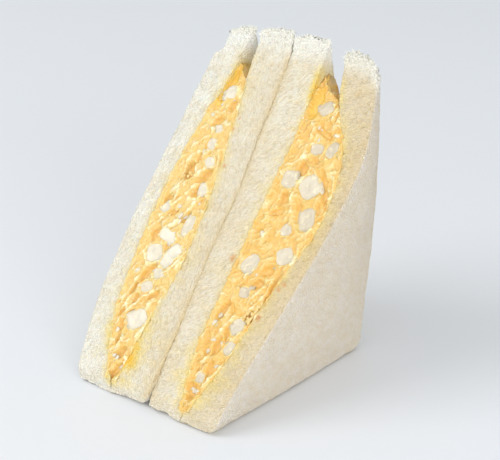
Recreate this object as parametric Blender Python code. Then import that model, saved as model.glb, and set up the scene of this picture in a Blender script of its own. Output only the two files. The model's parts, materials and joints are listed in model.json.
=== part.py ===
"""An egg salad sandwich: one crustless sandwich cut corner to corner, its halves standing side by side.

Each half is two slices of soft white bread round a filling of chopped egg. The halves stand on their
short edge with the knife cut leaning back, so that the cut shows every layer. X runs across the layers,
Y from the front tip to the back edge, and Z is up. Sizes are in millimetres until the meshes are made.
"""

import math
import random

import bmesh
import bpy
import numpy as np
from mathutils import Euler, Matrix, Vector, noise

MM = 0.001

# The triangle of each slice, seen from the side.
BASE_LENGTH = 90.0
BACK_HEIGHT = 123.0
FRONT_TIP_HEIGHT = 6.0
CUT_LEAN = math.radians(52.38)
CUT_LENGTH = 147.0
BACK_CORNER_RADIUS = 5.0
TIP_FLARE = 1.2
TIP_FLARE_LENGTH = 10.0

# Places along the cut, from the front tip up, and the thickness of each layer there: where the knife cut it,
# and along the trimmed edges opposite. The fillings are thick at the cut and thin at the edges.
STATIONS = (0.0, 20.0, 50.0, 85.0, 110.0, 125.0, 147.0)
THICKNESS = {
    "bread_outer_left": (
        (16.7, 12.6, 10.6, 9.9, 11.9, 13.3, 14.0),
        (15.6, 16.2, 16.2, 16.4, 16.2, 15.4, 14.0),
    ),
    "egg_salad_left": (
        (2.5, 12.9, 20.6, 18.6, 11.9, 6.9, 3.5),
        (1.4, 1.8, 1.8, 3.6, 3.6, 3.0, 3.5),
    ),
    "bread_inner_left": (
        (17.3, 14.8, 10.2, 12.5, 14.6, 15.9, 15.1),
        (16.6, 16.3, 16.2, 16.4, 16.4, 16.0, 15.1),
    ),
    "bread_inner_right": (
        (16.5, 13.0, 13.7, 13.8, 15.7, 15.7, 17.2),
        (16.4, 16.3, 16.2, 16.4, 16.8, 17.2, 17.2),
    ),
    "egg_salad_right": (
        (1.4, 11.8, 18.6, 25.3, 19.7, 12.5, 6.7),
        (1.4, 1.8, 1.8, 4.0, 4.0, 3.4, 6.0),
    ),
    "bread_outer_right": (
        (15.4, 11.4, 9.2, 6.2, 11.1, 15.9, 16.0),
        (14.4, 15.4, 16.2, 16.6, 16.6, 16.6, 16.4),
    ),
}
LEFT_HALF = ("bread_inner_left", "egg_salad_left", "bread_outer_left")
RIGHT_HALF = ("bread_inner_right", "egg_salad_right", "bread_outer_right")

# X of the seam where the halves meet: at the cut and along the trimmed edges.
SEAM = ((4.0, 3.8, 3.8, 5.1, 4.5, 3.3, 0.6), (1.6, 1.8, 1.0, 2.2, 3.4, 3.5, 0.4))
DOME_POWER = 1.25
GAP = 0.35

# How far up the cut each slice reaches, at four places across it from left to right.
TOP_OF_SLICE = {
    "bread_outer_left": (141.0, 142.8, 144.6, 145.2),
    "bread_inner_left": (145.0, 146.2, 146.8, 147.0),
    "bread_inner_right": (144.4, 146.8, 147.0, 147.0),
    "bread_outer_right": (144.2, 144.8, 143.2, 140.0),
}

# Where a filling starts and ends along the cut, and how far its upper end lies behind the cut.
FILLING_SPAN = {"egg_salad_left": (2.0, 129.5), "egg_salad_right": (2.0, 132.5)}
FILLING_DRAWN_BACK = {"egg_salad_left": 2.0, "egg_salad_right": 3.5}
DRAWN_BACK_FROM = 112.0
FILLING_DEPTH_SHARE = 0.965
FILLING_END_WIDTH_SHARE = 0.25
FILLING_END_SQUARENESS = 12

# How rough each surface is, and how wide its lumps are.
CRUMB_RELIEF = 0.5
CRUMB_LUMP = 9.0
TORN_TIP_RELIEF = 1.3
RELIEF_FADES_WITHIN = 12.0
FILLING_RELIEF = 1.5
FILLING_LUMP = 7.5
NOISE_GAIN = 1.6
NOISE_STEP_PER_SEED = Vector((17.3, 5.1, 0.0))

# Lattice of each block: cells along the cut, into the depth, and across the thickness. Bread and filling
# have the same cells in depth, so that their curved sides stay parallel.
BREAD_CELLS = (30, 7, 3)
FILLING_CELLS = (40, 7, 6)

# Diced egg white that shows at the cut: place along the cut, place across, length, width and turn in degrees.
EGG_WHITE = {
    "egg_salad_left": (
        (118.0, -16.0, 5.6, 4.2, 10),
        (103.0, -15.0, 3.6, 3.6, 30),
        (96.5, -15.0, 5.0, 4.0, 0),
        (90.0, -12.5, 4.0, 4.2, 20),
        (79.0, -10.5, 5.0, 3.8, 35),
        (64.5, -10.3, 10.0, 4.6, -8),
        (58.0, -17.0, 4.4, 8.4, -15),
        (50.5, -20.0, 7.8, 8.0, 25),
        (51.0, -12.0, 12.0, 5.2, -22),
        (43.5, -14.6, 4.6, 4.8, 40),
        (37.5, -17.0, 4.6, 6.0, 30),
        (25.0, -14.8, 9.0, 7.4, -40),
        (68.0, -23.5, 4.6, 3.4, -30),
    ),
    "egg_salad_right": (
        (122.0, 26.5, 6.0, 6.8, 40),
        (106.5, 30.5, 4.6, 6.2, 15),
        (107.5, 36.5, 7.0, 4.6, -20),
        (93.0, 24.2, 7.6, 7.0, 10),
        (92.0, 33.8, 9.6, 9.2, 45),
        (80.5, 38.0, 10.0, 7.4, 15),
        (74.5, 31.5, 4.6, 5.4, 30),
        (65.5, 35.4, 7.6, 8.0, 35),
        (59.0, 22.8, 9.2, 6.2, -25),
        (48.0, 25.6, 4.6, 5.2, 10),
        (35.5, 28.4, 6.0, 6.4, 50),
        (27.0, 29.2, 4.4, 5.8, 70),
        (13.5, 22.2, 4.4, 4.0, 0),
    ),
}
EGG_WHITE_UNEVEN = 0.22
EGG_WHITE_CHAMFER = 0.13
EGG_WHITE_TILT = 0.1
EGG_WHITE_DEPTH = 5.0
EGG_WHITE_PROUD = 0.7
EGG_WHITE_REACH = 8.0
EGG_WHITE_MARGIN = 0.9

COLOURS = {"bread": (0.90, 0.84, 0.68), "egg_salad": (0.96, 0.62, 0.18)}
ROUGHNESS = {"bread": 0.85, "egg_salad": 0.35}

# Where the cut starts and which way it runs, as (y, z), and where the square corner lies along it.
FRONT = -BASE_LENGTH / 2
BACK = BASE_LENGTH / 2
CUT_START = np.array([FRONT, FRONT_TIP_HEIGHT])
CUT_ALONG = np.array([math.cos(CUT_LEAN), math.sin(CUT_LEAN)])
CUT_OUTWARD = np.array([-math.sin(CUT_LEAN), math.cos(CUT_LEAN)])
CORNER_AT = float((np.array([BACK, 0.0]) - CUT_START) @ CUT_ALONG)


def smooth_through(values, at):
    """A smooth line through one value at each station: cubic Hermite, with the slope of its neighbours."""
    stations = np.array(STATIONS)
    values = np.array(values, float)
    slopes = np.gradient(values, stations)
    i = np.clip(np.searchsorted(stations, at, side="right") - 1, 0, len(stations) - 2)
    step = stations[i + 1] - stations[i]
    t = (at - stations[i]) / step
    start = values[i] * (1 + 2 * t) * (1 - t) ** 2 + slopes[i] * step * t * (1 - t) ** 2
    end = values[i + 1] * t**2 * (3 - 2 * t) + slopes[i + 1] * step * t**2 * (t - 1)
    return start + end


def cut_line(at):
    """Point (y, z) on the knife cut: straight, but for the top tip, which flares out a little."""
    flare = TIP_FLARE * np.clip((at - CUT_LENGTH) / TIP_FLARE_LENGTH + 1, 0, 1) ** 2
    return CUT_START + np.outer(at, CUT_ALONG) + np.outer(flare, CUT_OUTWARD)


def trimmed_edges(at):
    """Point (y, z) on the two trimmed edges: along the base to the rounded back corner, then up the back."""
    arc = BACK_CORNER_RADIUS * math.pi / 2
    base = BASE_LENGTH - BACK_CORNER_RADIUS
    rise = BACK_HEIGHT - BACK_CORNER_RADIUS
    run = np.where(
        at < CORNER_AT,
        at / CORNER_AT * (base + arc / 2),
        base + arc / 2 + (at - CORNER_AT) / (CUT_LENGTH - CORNER_AT) * (arc / 2 + rise),
    )
    turn = np.clip((run - base) / BACK_CORNER_RADIUS, 0, math.pi / 2)
    y = FRONT + np.minimum(run, base) + BACK_CORNER_RADIUS * np.sin(turn)
    z = BACK_CORNER_RADIUS * (1 - np.cos(turn)) + np.maximum(run - base - arc, 0)
    return np.stack([y, z], -1)


def side_view(at, depth):
    """Point (y, z) of the triangle: straight from the cut, at depth 0, to the trimmed edges, at depth 1."""
    return cut_line(at) + (trimmed_edges(at) - cut_line(at)) * depth[:, None]


def run_to_edge(at):
    """How far it is from the cut to the trimmed edges, from this place on the cut."""
    return np.linalg.norm(trimmed_edges(at) - cut_line(at), axis=-1)


def layer_sides(name, at, depth):
    """X of a layer's left and right side, counted out from the seam.

    The dome over the filling is full at the cut, depth 0, and gone at the trimmed edges, depth 1.
    """
    dome = (1 - depth**2) ** DOME_POWER

    def domed(values):
        at_cut, at_edge = (smooth_through(row, at) for row in values)
        return at_edge + (at_cut - at_edge) * dome

    for half, sign in ((LEFT_HALF, -1), (RIGHT_HALF, 1)):
        side = domed(SEAM)
        for layer in half:
            outer = side + sign * domed(THICKNESS[layer])
            if layer == name:
                return (outer, side) if sign < 0 else (side, outer)
            side = outer
    raise KeyError(name)


def lumps(points, width, seed):
    """Soft noise from about -1 to 1 at each point, in lumps of the given width."""
    shift = NOISE_STEP_PER_SEED * seed
    return np.array([noise.noise(Vector(p) / width + shift) for p in points]) * NOISE_GAIN


def lattice_block(cells):
    """A unit block cut into a lattice of cells, as a bmesh, with one corner at the origin."""
    block = bmesh.new()
    bmesh.ops.create_cube(block, size=1, matrix=Matrix.Translation((0.5, 0.5, 0.5)))
    for axis, count in enumerate(cells):
        normal = [0, 0, 0]
        normal[axis] = 1
        for i in range(1, count):
            at = [0, 0, 0]
            at[axis] = i / count
            everything = block.verts[:] + block.edges[:] + block.faces[:]
            bmesh.ops.bisect_plane(block, geom=everything, plane_co=at, plane_no=normal)
    return block


def lattice_points(block):
    return np.array([v.co[:] for v in block.verts])


def object_from(block, points, name, collection, material):
    """Moves the lattice's points, in millimetres, and makes the object.

    The lattice's three directions come out mirrored in the sandwich, so its faces are turned over.
    """
    for vert, point in zip(block.verts, points * MM):
        vert.co = point
    bmesh.ops.reverse_faces(block, faces=block.faces)
    mesh = bpy.data.meshes.new(name)
    block.to_mesh(mesh)
    block.free()
    mesh.materials.append(material)
    made = bpy.data.objects.new(name, mesh)
    collection.objects.link(made)
    return made


def make_material(kind):
    material = bpy.data.materials.new(kind)
    material.use_nodes = True
    shader = material.node_tree.nodes["Principled BSDF"]
    shader.inputs["Base Color"].default_value = (*COLOURS[kind], 1)
    shader.inputs["Roughness"].default_value = ROUGHNESS[kind]
    shader.inputs["Metallic"].default_value = 0.0
    return material


def make_bread(name, seed, collection, material):
    """A slice: the block bent to the triangle, its cut face uneven and its blunt tips torn."""
    block = lattice_block(BREAD_CELLS)
    along, depth, across = lattice_points(block).T
    top = TOP_OF_SLICE[name]
    at = along * np.interp(across, np.linspace(0, 1, len(top)), top)
    left, right = layer_sides(name, at, depth)
    x = left + GAP / 2 + (right - left - GAP) * across
    yz = side_view(at, depth)
    points = np.column_stack([x, yz])
    room = np.minimum(run_to_edge(at) / RELIEF_FADES_WITHIN, 1)
    relief = np.where(np.isclose(depth, 0), lumps(points, CRUMB_LUMP, seed) * CRUMB_RELIEF * room, 0)
    yz = yz + np.outer(relief, CUT_OUTWARD)
    torn = np.abs(lumps(points, CRUMB_LUMP / 2, seed + len(THICKNESS))) * TORN_TIP_RELIEF
    yz[:, 0] += np.where(np.isclose(along, 0), torn, 0)
    yz -= np.outer(np.where(np.isclose(along, 1), torn, 0), CUT_ALONG)
    yz[:, 1] = np.maximum(yz[:, 1], 0)
    return object_from(block, np.column_stack([x, yz]), name, collection, material)


def drawn_back(name, at):
    """How far a filling's face lies behind the knife cut: not at all, but for its upper end."""
    end = FILLING_SPAN[name][1]
    return FILLING_DRAWN_BACK[name] * np.clip((at - DRAWN_BACK_FROM) / (end - DRAWN_BACK_FROM), 0, 1) ** 2


def make_filling_core(name, seed, collection, material):
    """The filling: a block that fills the space between its slices, lumpy at the cut and rounded at its ends.

    Its face is drawn back along the lines that run in from the cut, so that its sides stay with the slices.
    """
    block = lattice_block(FILLING_CELLS)
    along, inward, across = lattice_points(block).T
    start, end = FILLING_SPAN[name]
    at = start + (end - start) * along
    depth = np.minimum(inward, FILLING_DEPTH_SHARE)
    roundness = np.sqrt(1 - np.abs(2 * along - 1) ** FILLING_END_SQUARENESS)
    width_share = FILLING_END_WIDTH_SHARE + (1 - FILLING_END_WIDTH_SHARE) * roundness
    left, right = layer_sides(name, at, np.zeros_like(at))
    face = np.column_stack([left + (right - left) * across, cut_line(at)])
    relief = (1 - lumps(face, FILLING_LUMP, seed)) * FILLING_RELIEF * roundness
    depth = depth + (1 - inward) * (relief + drawn_back(name, at)) / run_to_edge(at)
    left, right = layer_sides(name, at, depth)
    half = (right - left) / 2 - GAP
    x = (left + right) / 2 + half * (2 * across - 1) * width_share
    return object_from(block, np.column_stack([x, side_view(at, depth)]), name, collection, material)


def room_for(name, at, half_length):
    """The narrowest X range inside a filling beside a piece of egg white, down to the piece's inner end."""
    beside = np.clip(at + np.array([-1, 0, 1]) * half_length, 0, CUT_LENGTH)
    to_edge = run_to_edge(beside)
    sides = np.array([layer_sides(name, beside, np.minimum(d / to_edge, 1)) for d in (0, EGG_WHITE_REACH)])
    return sides[:, 0].max() + EGG_WHITE_MARGIN, sides[:, 1].min() - EGG_WHITE_MARGIN


def egg_white_piece(name, place, rng, collection):
    """One dice of egg white: a chamfered box with uneven corners, lying in the cut, inside its filling."""
    at, x, length, width, turn = place
    left, right = room_for(name, at, max(length, width) / 2)
    angle = math.radians(turn)
    half_across = (abs(width * math.cos(angle)) + abs(length * math.sin(angle))) / 2
    shrink = min(1.0, (right - left) / (2 * half_across))
    half_across *= shrink
    x = min(max(x, left + half_across), right - half_across)
    piece = bmesh.new()
    bmesh.ops.create_cube(piece, size=1)
    for vert in piece.verts:
        vert.co *= 1 - EGG_WHITE_UNEVEN * rng.random()
    edges = piece.edges[:]
    bmesh.ops.bevel(piece, geom=edges, offset=EGG_WHITE_CHAMFER, segments=1, affect="EDGES")
    size = (width * shrink, length * shrink, EGG_WHITE_DEPTH)
    bmesh.ops.scale(piece, vec=size, verts=piece.verts)
    tip, roll = (rng.uniform(-EGG_WHITE_TILT, EGG_WHITE_TILT) for _ in range(2))
    tilt = Euler((tip, roll, angle)).to_matrix().to_4x4()
    sunk = EGG_WHITE_DEPTH / 2 - EGG_WHITE_PROUD + FILLING_RELIEF + drawn_back(name, at)
    y, z = CUT_START + CUT_ALONG * at - CUT_OUTWARD * sunk
    into_cut = Matrix(
        (
            (1, 0, 0, x),
            (0, CUT_ALONG[0], CUT_OUTWARD[0], y),
            (0, CUT_ALONG[1], CUT_OUTWARD[1], z),
            (0, 0, 0, 1),
        )
    )
    bmesh.ops.transform(piece, matrix=Matrix.Scale(MM, 4) @ into_cut @ tilt, verts=piece.verts)
    bmesh.ops.recalc_face_normals(piece, faces=piece.faces)
    mesh = bpy.data.meshes.new("egg_white")
    piece.to_mesh(mesh)
    piece.free()
    made = bpy.data.objects.new("egg_white", mesh)
    made.hide_render = True
    collection.objects.link(made)


def fuse(core, pieces):
    """Joins the collection's pieces to the core with one Boolean union, applied, and removes the pieces."""
    union = core.modifiers.new("egg_white", "BOOLEAN")
    union.operation = "UNION"
    union.operand_type = "COLLECTION"
    union.collection = pieces
    union.solver = "EXACT"
    graph = bpy.context.evaluated_depsgraph_get()
    fused = bpy.data.meshes.new_from_object(core.evaluated_get(graph))
    core.modifiers.clear()
    core.data = fused
    for piece in list(pieces.objects):
        bpy.data.objects.remove(piece)
    bpy.data.collections.remove(pieces)


def make_filling(name, seed, collection, material):
    core = make_filling_core(name, seed, collection, material)
    pieces = bpy.data.collections.new(name + "_egg_white")
    bpy.context.scene.collection.children.link(pieces)
    rng = random.Random(seed)
    for place in EGG_WHITE[name]:
        egg_white_piece(name, place, rng, pieces)
    fuse(core, pieces)
    return core


def stand_on_origin(objects):
    """Moves every mesh so that the middle of the sandwich's footprint is at the origin, on the ground."""
    corners = np.array([v.co[:] for made in objects for v in made.data.vertices])
    low, high = corners.min(0), corners.max(0)
    shift = Matrix.Translation((-(low[0] + high[0]) / 2, -(low[1] + high[1]) / 2, -low[2]))
    for made in objects:
        made.data.transform(shift)


def main():
    for old in list(bpy.data.objects):
        bpy.data.objects.remove(old)
    collection = bpy.data.collections.new("egg_salad_sandwich")
    bpy.context.scene.collection.children.link(collection)
    bread = make_material("bread")
    egg_salad = make_material("egg_salad")
    made = []
    for seed, name in enumerate(THICKNESS, start=1):
        if name.startswith("egg"):
            made.append(make_filling(name, seed, collection, egg_salad))
        else:
            made.append(make_bread(name, seed, collection, bread))
    stand_on_origin(made)


main()
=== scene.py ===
import json
import math

import bpy
import numpy as np
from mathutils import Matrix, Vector

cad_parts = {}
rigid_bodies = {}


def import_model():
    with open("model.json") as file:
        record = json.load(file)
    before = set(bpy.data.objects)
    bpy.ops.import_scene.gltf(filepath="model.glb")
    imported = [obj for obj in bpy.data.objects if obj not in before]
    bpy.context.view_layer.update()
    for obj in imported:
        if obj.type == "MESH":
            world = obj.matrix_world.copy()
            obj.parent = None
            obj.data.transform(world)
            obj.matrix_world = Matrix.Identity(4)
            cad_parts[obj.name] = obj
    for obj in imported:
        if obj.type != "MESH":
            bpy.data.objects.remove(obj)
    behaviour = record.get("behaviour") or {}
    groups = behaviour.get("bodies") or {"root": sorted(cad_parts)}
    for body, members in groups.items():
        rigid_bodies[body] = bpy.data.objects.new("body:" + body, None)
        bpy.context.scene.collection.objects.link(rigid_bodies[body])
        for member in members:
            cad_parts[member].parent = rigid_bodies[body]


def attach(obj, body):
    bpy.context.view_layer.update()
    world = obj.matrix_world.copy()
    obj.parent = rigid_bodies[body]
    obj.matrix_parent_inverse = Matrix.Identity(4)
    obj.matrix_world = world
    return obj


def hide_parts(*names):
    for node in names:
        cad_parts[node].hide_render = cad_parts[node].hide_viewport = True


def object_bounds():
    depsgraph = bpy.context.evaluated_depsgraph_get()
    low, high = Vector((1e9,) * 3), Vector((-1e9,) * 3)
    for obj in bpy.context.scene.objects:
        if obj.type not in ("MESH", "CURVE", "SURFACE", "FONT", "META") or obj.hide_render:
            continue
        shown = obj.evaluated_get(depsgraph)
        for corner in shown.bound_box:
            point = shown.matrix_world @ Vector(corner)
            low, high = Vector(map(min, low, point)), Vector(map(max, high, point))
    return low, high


bl_info = {
    "name": "Egg Salad Sandwich",
    "version": (1, 0, 0),
    "blender": (4, 5, 0),
    "location": "3D View > Sidebar > Sandwich",
    "description": "A halved egg salad sandwich: soft torn crumb, creamy filling and diced egg white",
    "category": "Add Mesh",
}

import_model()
CAD_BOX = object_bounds()

MM = 0.001

# The triangle seen from its side, in millimetres: y runs back along the base and z up
BASE_LENGTH = 90.0
BACK_HEIGHT = 123.0
FRONT_TIP_HEIGHT = 6.0
CUT_LEAN = math.radians(52.38)
CUT_LENGTH = 147.0
BACK_CORNER_RADIUS = 5.0
TIP_FLARE = 1.2
TIP_FLARE_LENGTH = 10.0

# The layers across, at places along the cut: widths at the cut, then at the trimmed edges
STATIONS = (0.0, 20.0, 50.0, 85.0, 110.0, 125.0, 147.0)
THICKNESS = {
    "bread_outer_left": (
        (16.7, 12.6, 10.6, 9.9, 11.9, 13.3, 14.0),
        (15.6, 16.2, 16.2, 16.4, 16.2, 15.4, 14.0),
    ),
    "egg_salad_left": (
        (2.5, 12.9, 20.6, 18.6, 11.9, 6.9, 3.5),
        (1.4, 1.8, 1.8, 3.6, 3.6, 3.0, 3.5),
    ),
    "bread_inner_left": (
        (17.3, 14.8, 10.2, 12.5, 14.6, 15.9, 15.1),
        (16.6, 16.3, 16.2, 16.4, 16.4, 16.0, 15.1),
    ),
    "bread_inner_right": (
        (16.5, 13.0, 13.7, 13.8, 15.7, 15.7, 17.2),
        (16.4, 16.3, 16.2, 16.4, 16.8, 17.2, 17.2),
    ),
    "egg_salad_right": (
        (1.4, 11.8, 18.6, 25.3, 19.7, 12.5, 6.7),
        (1.4, 1.8, 1.8, 4.0, 4.0, 3.4, 6.0),
    ),
    "bread_outer_right": (
        (15.4, 11.4, 9.2, 6.2, 11.1, 15.9, 16.0),
        (14.4, 15.4, 16.2, 16.6, 16.6, 16.6, 16.4),
    ),
}
LEFT_HALF = ("bread_inner_left", "egg_salad_left", "bread_outer_left")
RIGHT_HALF = ("bread_inner_right", "egg_salad_right", "bread_outer_right")
SLICES = ("bread_outer_left", "bread_inner_left", "bread_inner_right", "bread_outer_right")
FILLINGS = ("egg_salad_left", "egg_salad_right")
SEAM = ((4.0, 3.8, 3.8, 5.1, 4.5, 3.3, 0.6), (1.6, 1.8, 1.0, 2.2, 3.4, 3.5, 0.4))
SEAM_SHIFT = -6.938
DOME_POWER = 1.25
GAP = 0.35

TOP_OF_SLICE = {
    "bread_outer_left": (141.0, 142.8, 144.6, 145.2),
    "bread_inner_left": (145.0, 146.2, 146.8, 147.0),
    "bread_inner_right": (144.4, 146.8, 147.0, 147.0),
    "bread_outer_right": (144.4, 146.2, 145.6, 141.8),
}
FILLING_SPAN = {"egg_salad_left": (0.4, 129.5), "egg_salad_right": (0.4, 132.5)}
FILLING_DRAWN_BACK = {"egg_salad_left": 2.0, "egg_salad_right": 3.5}
DRAWN_BACK_FROM = 112.0
FILLING_DEPTH_SHARE = 0.965
FILLING_END_WIDTH_SHARE = 0.25
FILLING_TIP_WIDTH_SHARE = 1.15
FILLING_END_SQUARENESS = 12

# Which side of a slice the filling touches, the way its crumb was drawn out, and the filling beside it
FILLING_SIDE = {
    "bread_outer_left": 1,
    "bread_inner_left": 0,
    "bread_inner_right": 1,
    "bread_outer_right": 0,
}
FIBRE_LEAN = {
    "bread_outer_left": 20,
    "bread_inner_left": -15,
    "bread_inner_right": 45,
    "bread_outer_right": 70,
}
# How tan the crumb of a slice is, from white at 0 to tan at 1: at the bottom, in the middle and at the top
TAN = {
    "bread_outer_left": (0.05, 0.0, 0.05),
    "bread_inner_left": (0.28, 0.52, 0.28),
    "bread_inner_right": (0.45, 0.52, 0.15),
    "bread_outer_right": (0.62, 1.0, 0.65),
}
FIBRE_STRETCH = {
    "bread_outer_left": 1.7,
    "bread_inner_left": 1.9,
    "bread_inner_right": 2.4,
    "bread_outer_right": 1.6,
}
TORN_TOP = {
    "bread_outer_left": 1.3,
    "bread_inner_left": 1.0,
    "bread_inner_right": 0.4,
    "bread_outer_right": 1.5,
}
TUFTS = {
    "bread_outer_left": 520,
    "bread_inner_left": 500,
    "bread_inner_right": 300,
    "bread_outer_right": 560,
}
# Smears of yolk on the crumb beside the filling: the middle along the cut, the spread along it, the width
# across it and the strength
SMEARS = {
    "bread_outer_left": ((14, 9, 4.0, 0.9), (30, 16, 2.0, 0.6)),
    "bread_inner_left": ((10, 8, 5.0, 1.3), (26, 10, 2.6, 0.9)),
    "bread_inner_right": ((128, 7, 2.2, 1.9), (10, 8, 2.5, 0.9)),
    "bread_outer_right": ((127, 9, 2.6, 0.9), (14, 12, 3.4, 0.9), (42, 20, 4.6, 0.5)),
}
# How much whiter a whole slice is than its crumb's own mixture
WHITER = {
    "bread_outer_left": 0.35,
    "bread_inner_left": 0.1,
    "bread_inner_right": 0.1,
    "bread_outer_right": 0.0,
}
# The two slices at the seam press on each other: how far short of it each face ends, or past it below 0,
# how far across its cut rim is rounded, the share of that in depth, and how wide the valley's painted shade
# is
SEAM_PRESS = -2.1
SEAM_RIM = 5.4
SEAM_RIM_DEPTH_SHARE = 0.78
CREASE_SHADE_WIDTH = 3.4
# How far the slices close over the filling at the front tip, and how far up the cut that reaches
TIP_PRESS = {"egg_salad_left": 1.4, "egg_salad_right": 1.0}
TIP_PRESS_REACH = 5.0
# Roundness of a slice's rim by the filling
FILLING_RIM = 0.45
# How far the filling soaks into the cut crumb beside it
STAIN_WIDTH = {
    "bread_outer_left": 1.6,
    "bread_inner_left": 2.0,
    "bread_inner_right": 1.9,
    "bread_outer_right": 2.2,
}
# How much wider the stain is near the front tips
STAIN_SPREAD = {
    "bread_outer_left": 0.6,
    "bread_inner_left": 2.0,
    "bread_inner_right": 0.8,
    "bread_outer_right": 0.5,
}
# Humps and dips of the cut rims beside the seam: the middle along the cut, the spread and the height
ROLLED_EDGE = {
    "bread_inner_left": ((24, 20, 0.9), (106, 16, -0.7), (140, 8, 0.3)),
    "bread_inner_right": ((24, 20, -0.4), (104, 15, 1.2), (60, 14, 0.3)),
}
# The torn neck near the top of the left outer slice: its depth, and where it starts and ends along the cut
NECK_DEPTH = 3.2
NECK_BELOW = (131.0, 134.0)
NECK_ABOVE = (142.5, 138.0)
# Brownish specks in the cut crumb: the pixel of the photograph, right and down, and the size in millimetres
SPECKS = {
    "bread_outer_left": (),
    "bread_inner_left": (((233, 129), 0.9), ((224, 166), 0.8), ((240, 118), 0.6)),
    "bread_inner_right": (((232, 258), 1.3),),
    "bread_outer_right": (
        ((284, 285), 0.9),
        ((278, 290), 0.9),
        ((258, 318), 1.2),
        ((325, 209), 1.0),
        ((339, 182), 0.7),
    ),
}

# What lies in a cut filling: place along the cut, place across, length, width and turn in degrees,
# where the turn leads the length from along the cut towards the left
EGG_WHITE = {
    "egg_salad_left": (
        (118, -16, 5.6, 4.2, 10),
        (103, -15, 3.6, 3.6, 30),
        (96.5, -15, 5, 4, 0),
        (90, -12.5, 4, 4.2, 20),
        (79, -10.5, 5, 3.8, 35),
        (64.5, -10.3, 10, 4.6, -8),
        (58, -17, 4.4, 8.4, -15),
        (50.5, -20, 7.8, 8, 25),
        (51, -12, 12, 5.2, -22),
        (43.5, -14.6, 4.6, 4.8, 40),
        (37.5, -17, 4.6, 6, 30),
        (25, -14.8, 9, 7.4, -40),
        (68, -23.5, 4.6, 3.4, -30),
    ),
    "egg_salad_right": (
        (122, 26.5, 6, 6.8, 40),
        (106.5, 30.5, 4.6, 6.2, 15),
        (107.5, 36.5, 7, 4.6, -20),
        (93, 24.2, 7.6, 7, 10),
        (92, 33.8, 9.6, 9.2, 45),
        (80.5, 38, 10, 7.4, 15),
        (74.5, 31.5, 4.6, 5.4, 30),
        (65.5, 35.4, 7.6, 8, 35),
        (59, 22.8, 9.2, 6.2, -25),
        (48, 25.6, 4.6, 5.2, 10),
        (35.5, 28.4, 6, 6.4, 50),
        (27, 29.2, 4.4, 5.8, 70),
        (13.5, 22.2, 4.4, 4, 0),
    ),
}
# Hollows of yolk in a cut filling, read off the photograph in its pixels, right and down: their upper
# end, their lower end and their width
# In these hollows the colour goes to deep yolk: partly the yolk's own colour, partly painted shade
SHADED_YOLK_HOLLOWS = {
    "egg_salad_left": (
        ((237, 66), (218, 102), 12),
        ((234, 99), (231, 111), 6),
        ((222, 117), (214, 124), 6),
        ((212, 134), (204, 150), 4),
        ((200, 154), (197, 163), 5),
        ((192, 164), (184, 177), 10),
        ((209, 172), (198, 181), 9),
        ((200, 184), (193, 194), 6),
        ((172, 193), (165, 202), 6),
        ((202, 195), (196, 206), 5),
        ((178, 211), (166, 216), 5),
        ((189, 214), (180, 222), 6),
        ((157, 229), (151, 240), 6),
        ((155, 264), (139, 280), 7),
        ((167, 243), (164, 252), 5),
        ((137, 283), (131, 291), 7),
        ((155, 293), (148, 300), 6),
        ((138, 294), (134, 300), 5),
        ((124, 309), (120, 314), 5),
        ((132, 311), (129, 316), 7),
        ((122, 318), (121, 328), 5),
        ((119, 332), (117, 341), 5),
        ((124, 348), (116, 354), 9),
        ((120, 363), (109, 380), 9),
    ),
    "egg_salad_right": (
        ((319, 88), (311, 117), 12),
        ((330, 124), (326, 128), 4),
        ((318, 126), (330, 138), 8),
        ((312, 146), (318, 165), 5),
        ((322, 172), (325, 205), 8),
        ((307, 158), (298, 176), 9),
        ((318, 205), (317, 213), 5),
        ((286, 194), (279, 204), 7),
        ((284, 208), (271, 213), 6),
        ((298, 200), (296, 224), 6),
        ((288, 222), (278, 228), 4),
        ((262, 228), (255, 232), 4),
        ((274, 251), (269, 257), 4),
        ((272, 268), (260, 276), 7),
        ((263, 282), (249, 287), 8),
        ((281, 271), (268, 295), 7),
        ((266, 297), (258, 312), 6),
        ((243, 283), (238, 287), 4),
        ((231, 305), (232, 314), 4),
        ((228, 302), (217, 318), 8),
        ((252, 312), (246, 322), 8),
        ((228, 325), (224, 341), 6),
        ((209, 332), (205, 343), 5),
        ((219, 338), (213, 353), 8),
        ((206, 348), (207, 353), 5),
        ((203, 363), (197, 372), 5),
        ((212, 362), (207, 375), 6),
        ((193, 384), (189, 397), 9),
    ),
}
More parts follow.
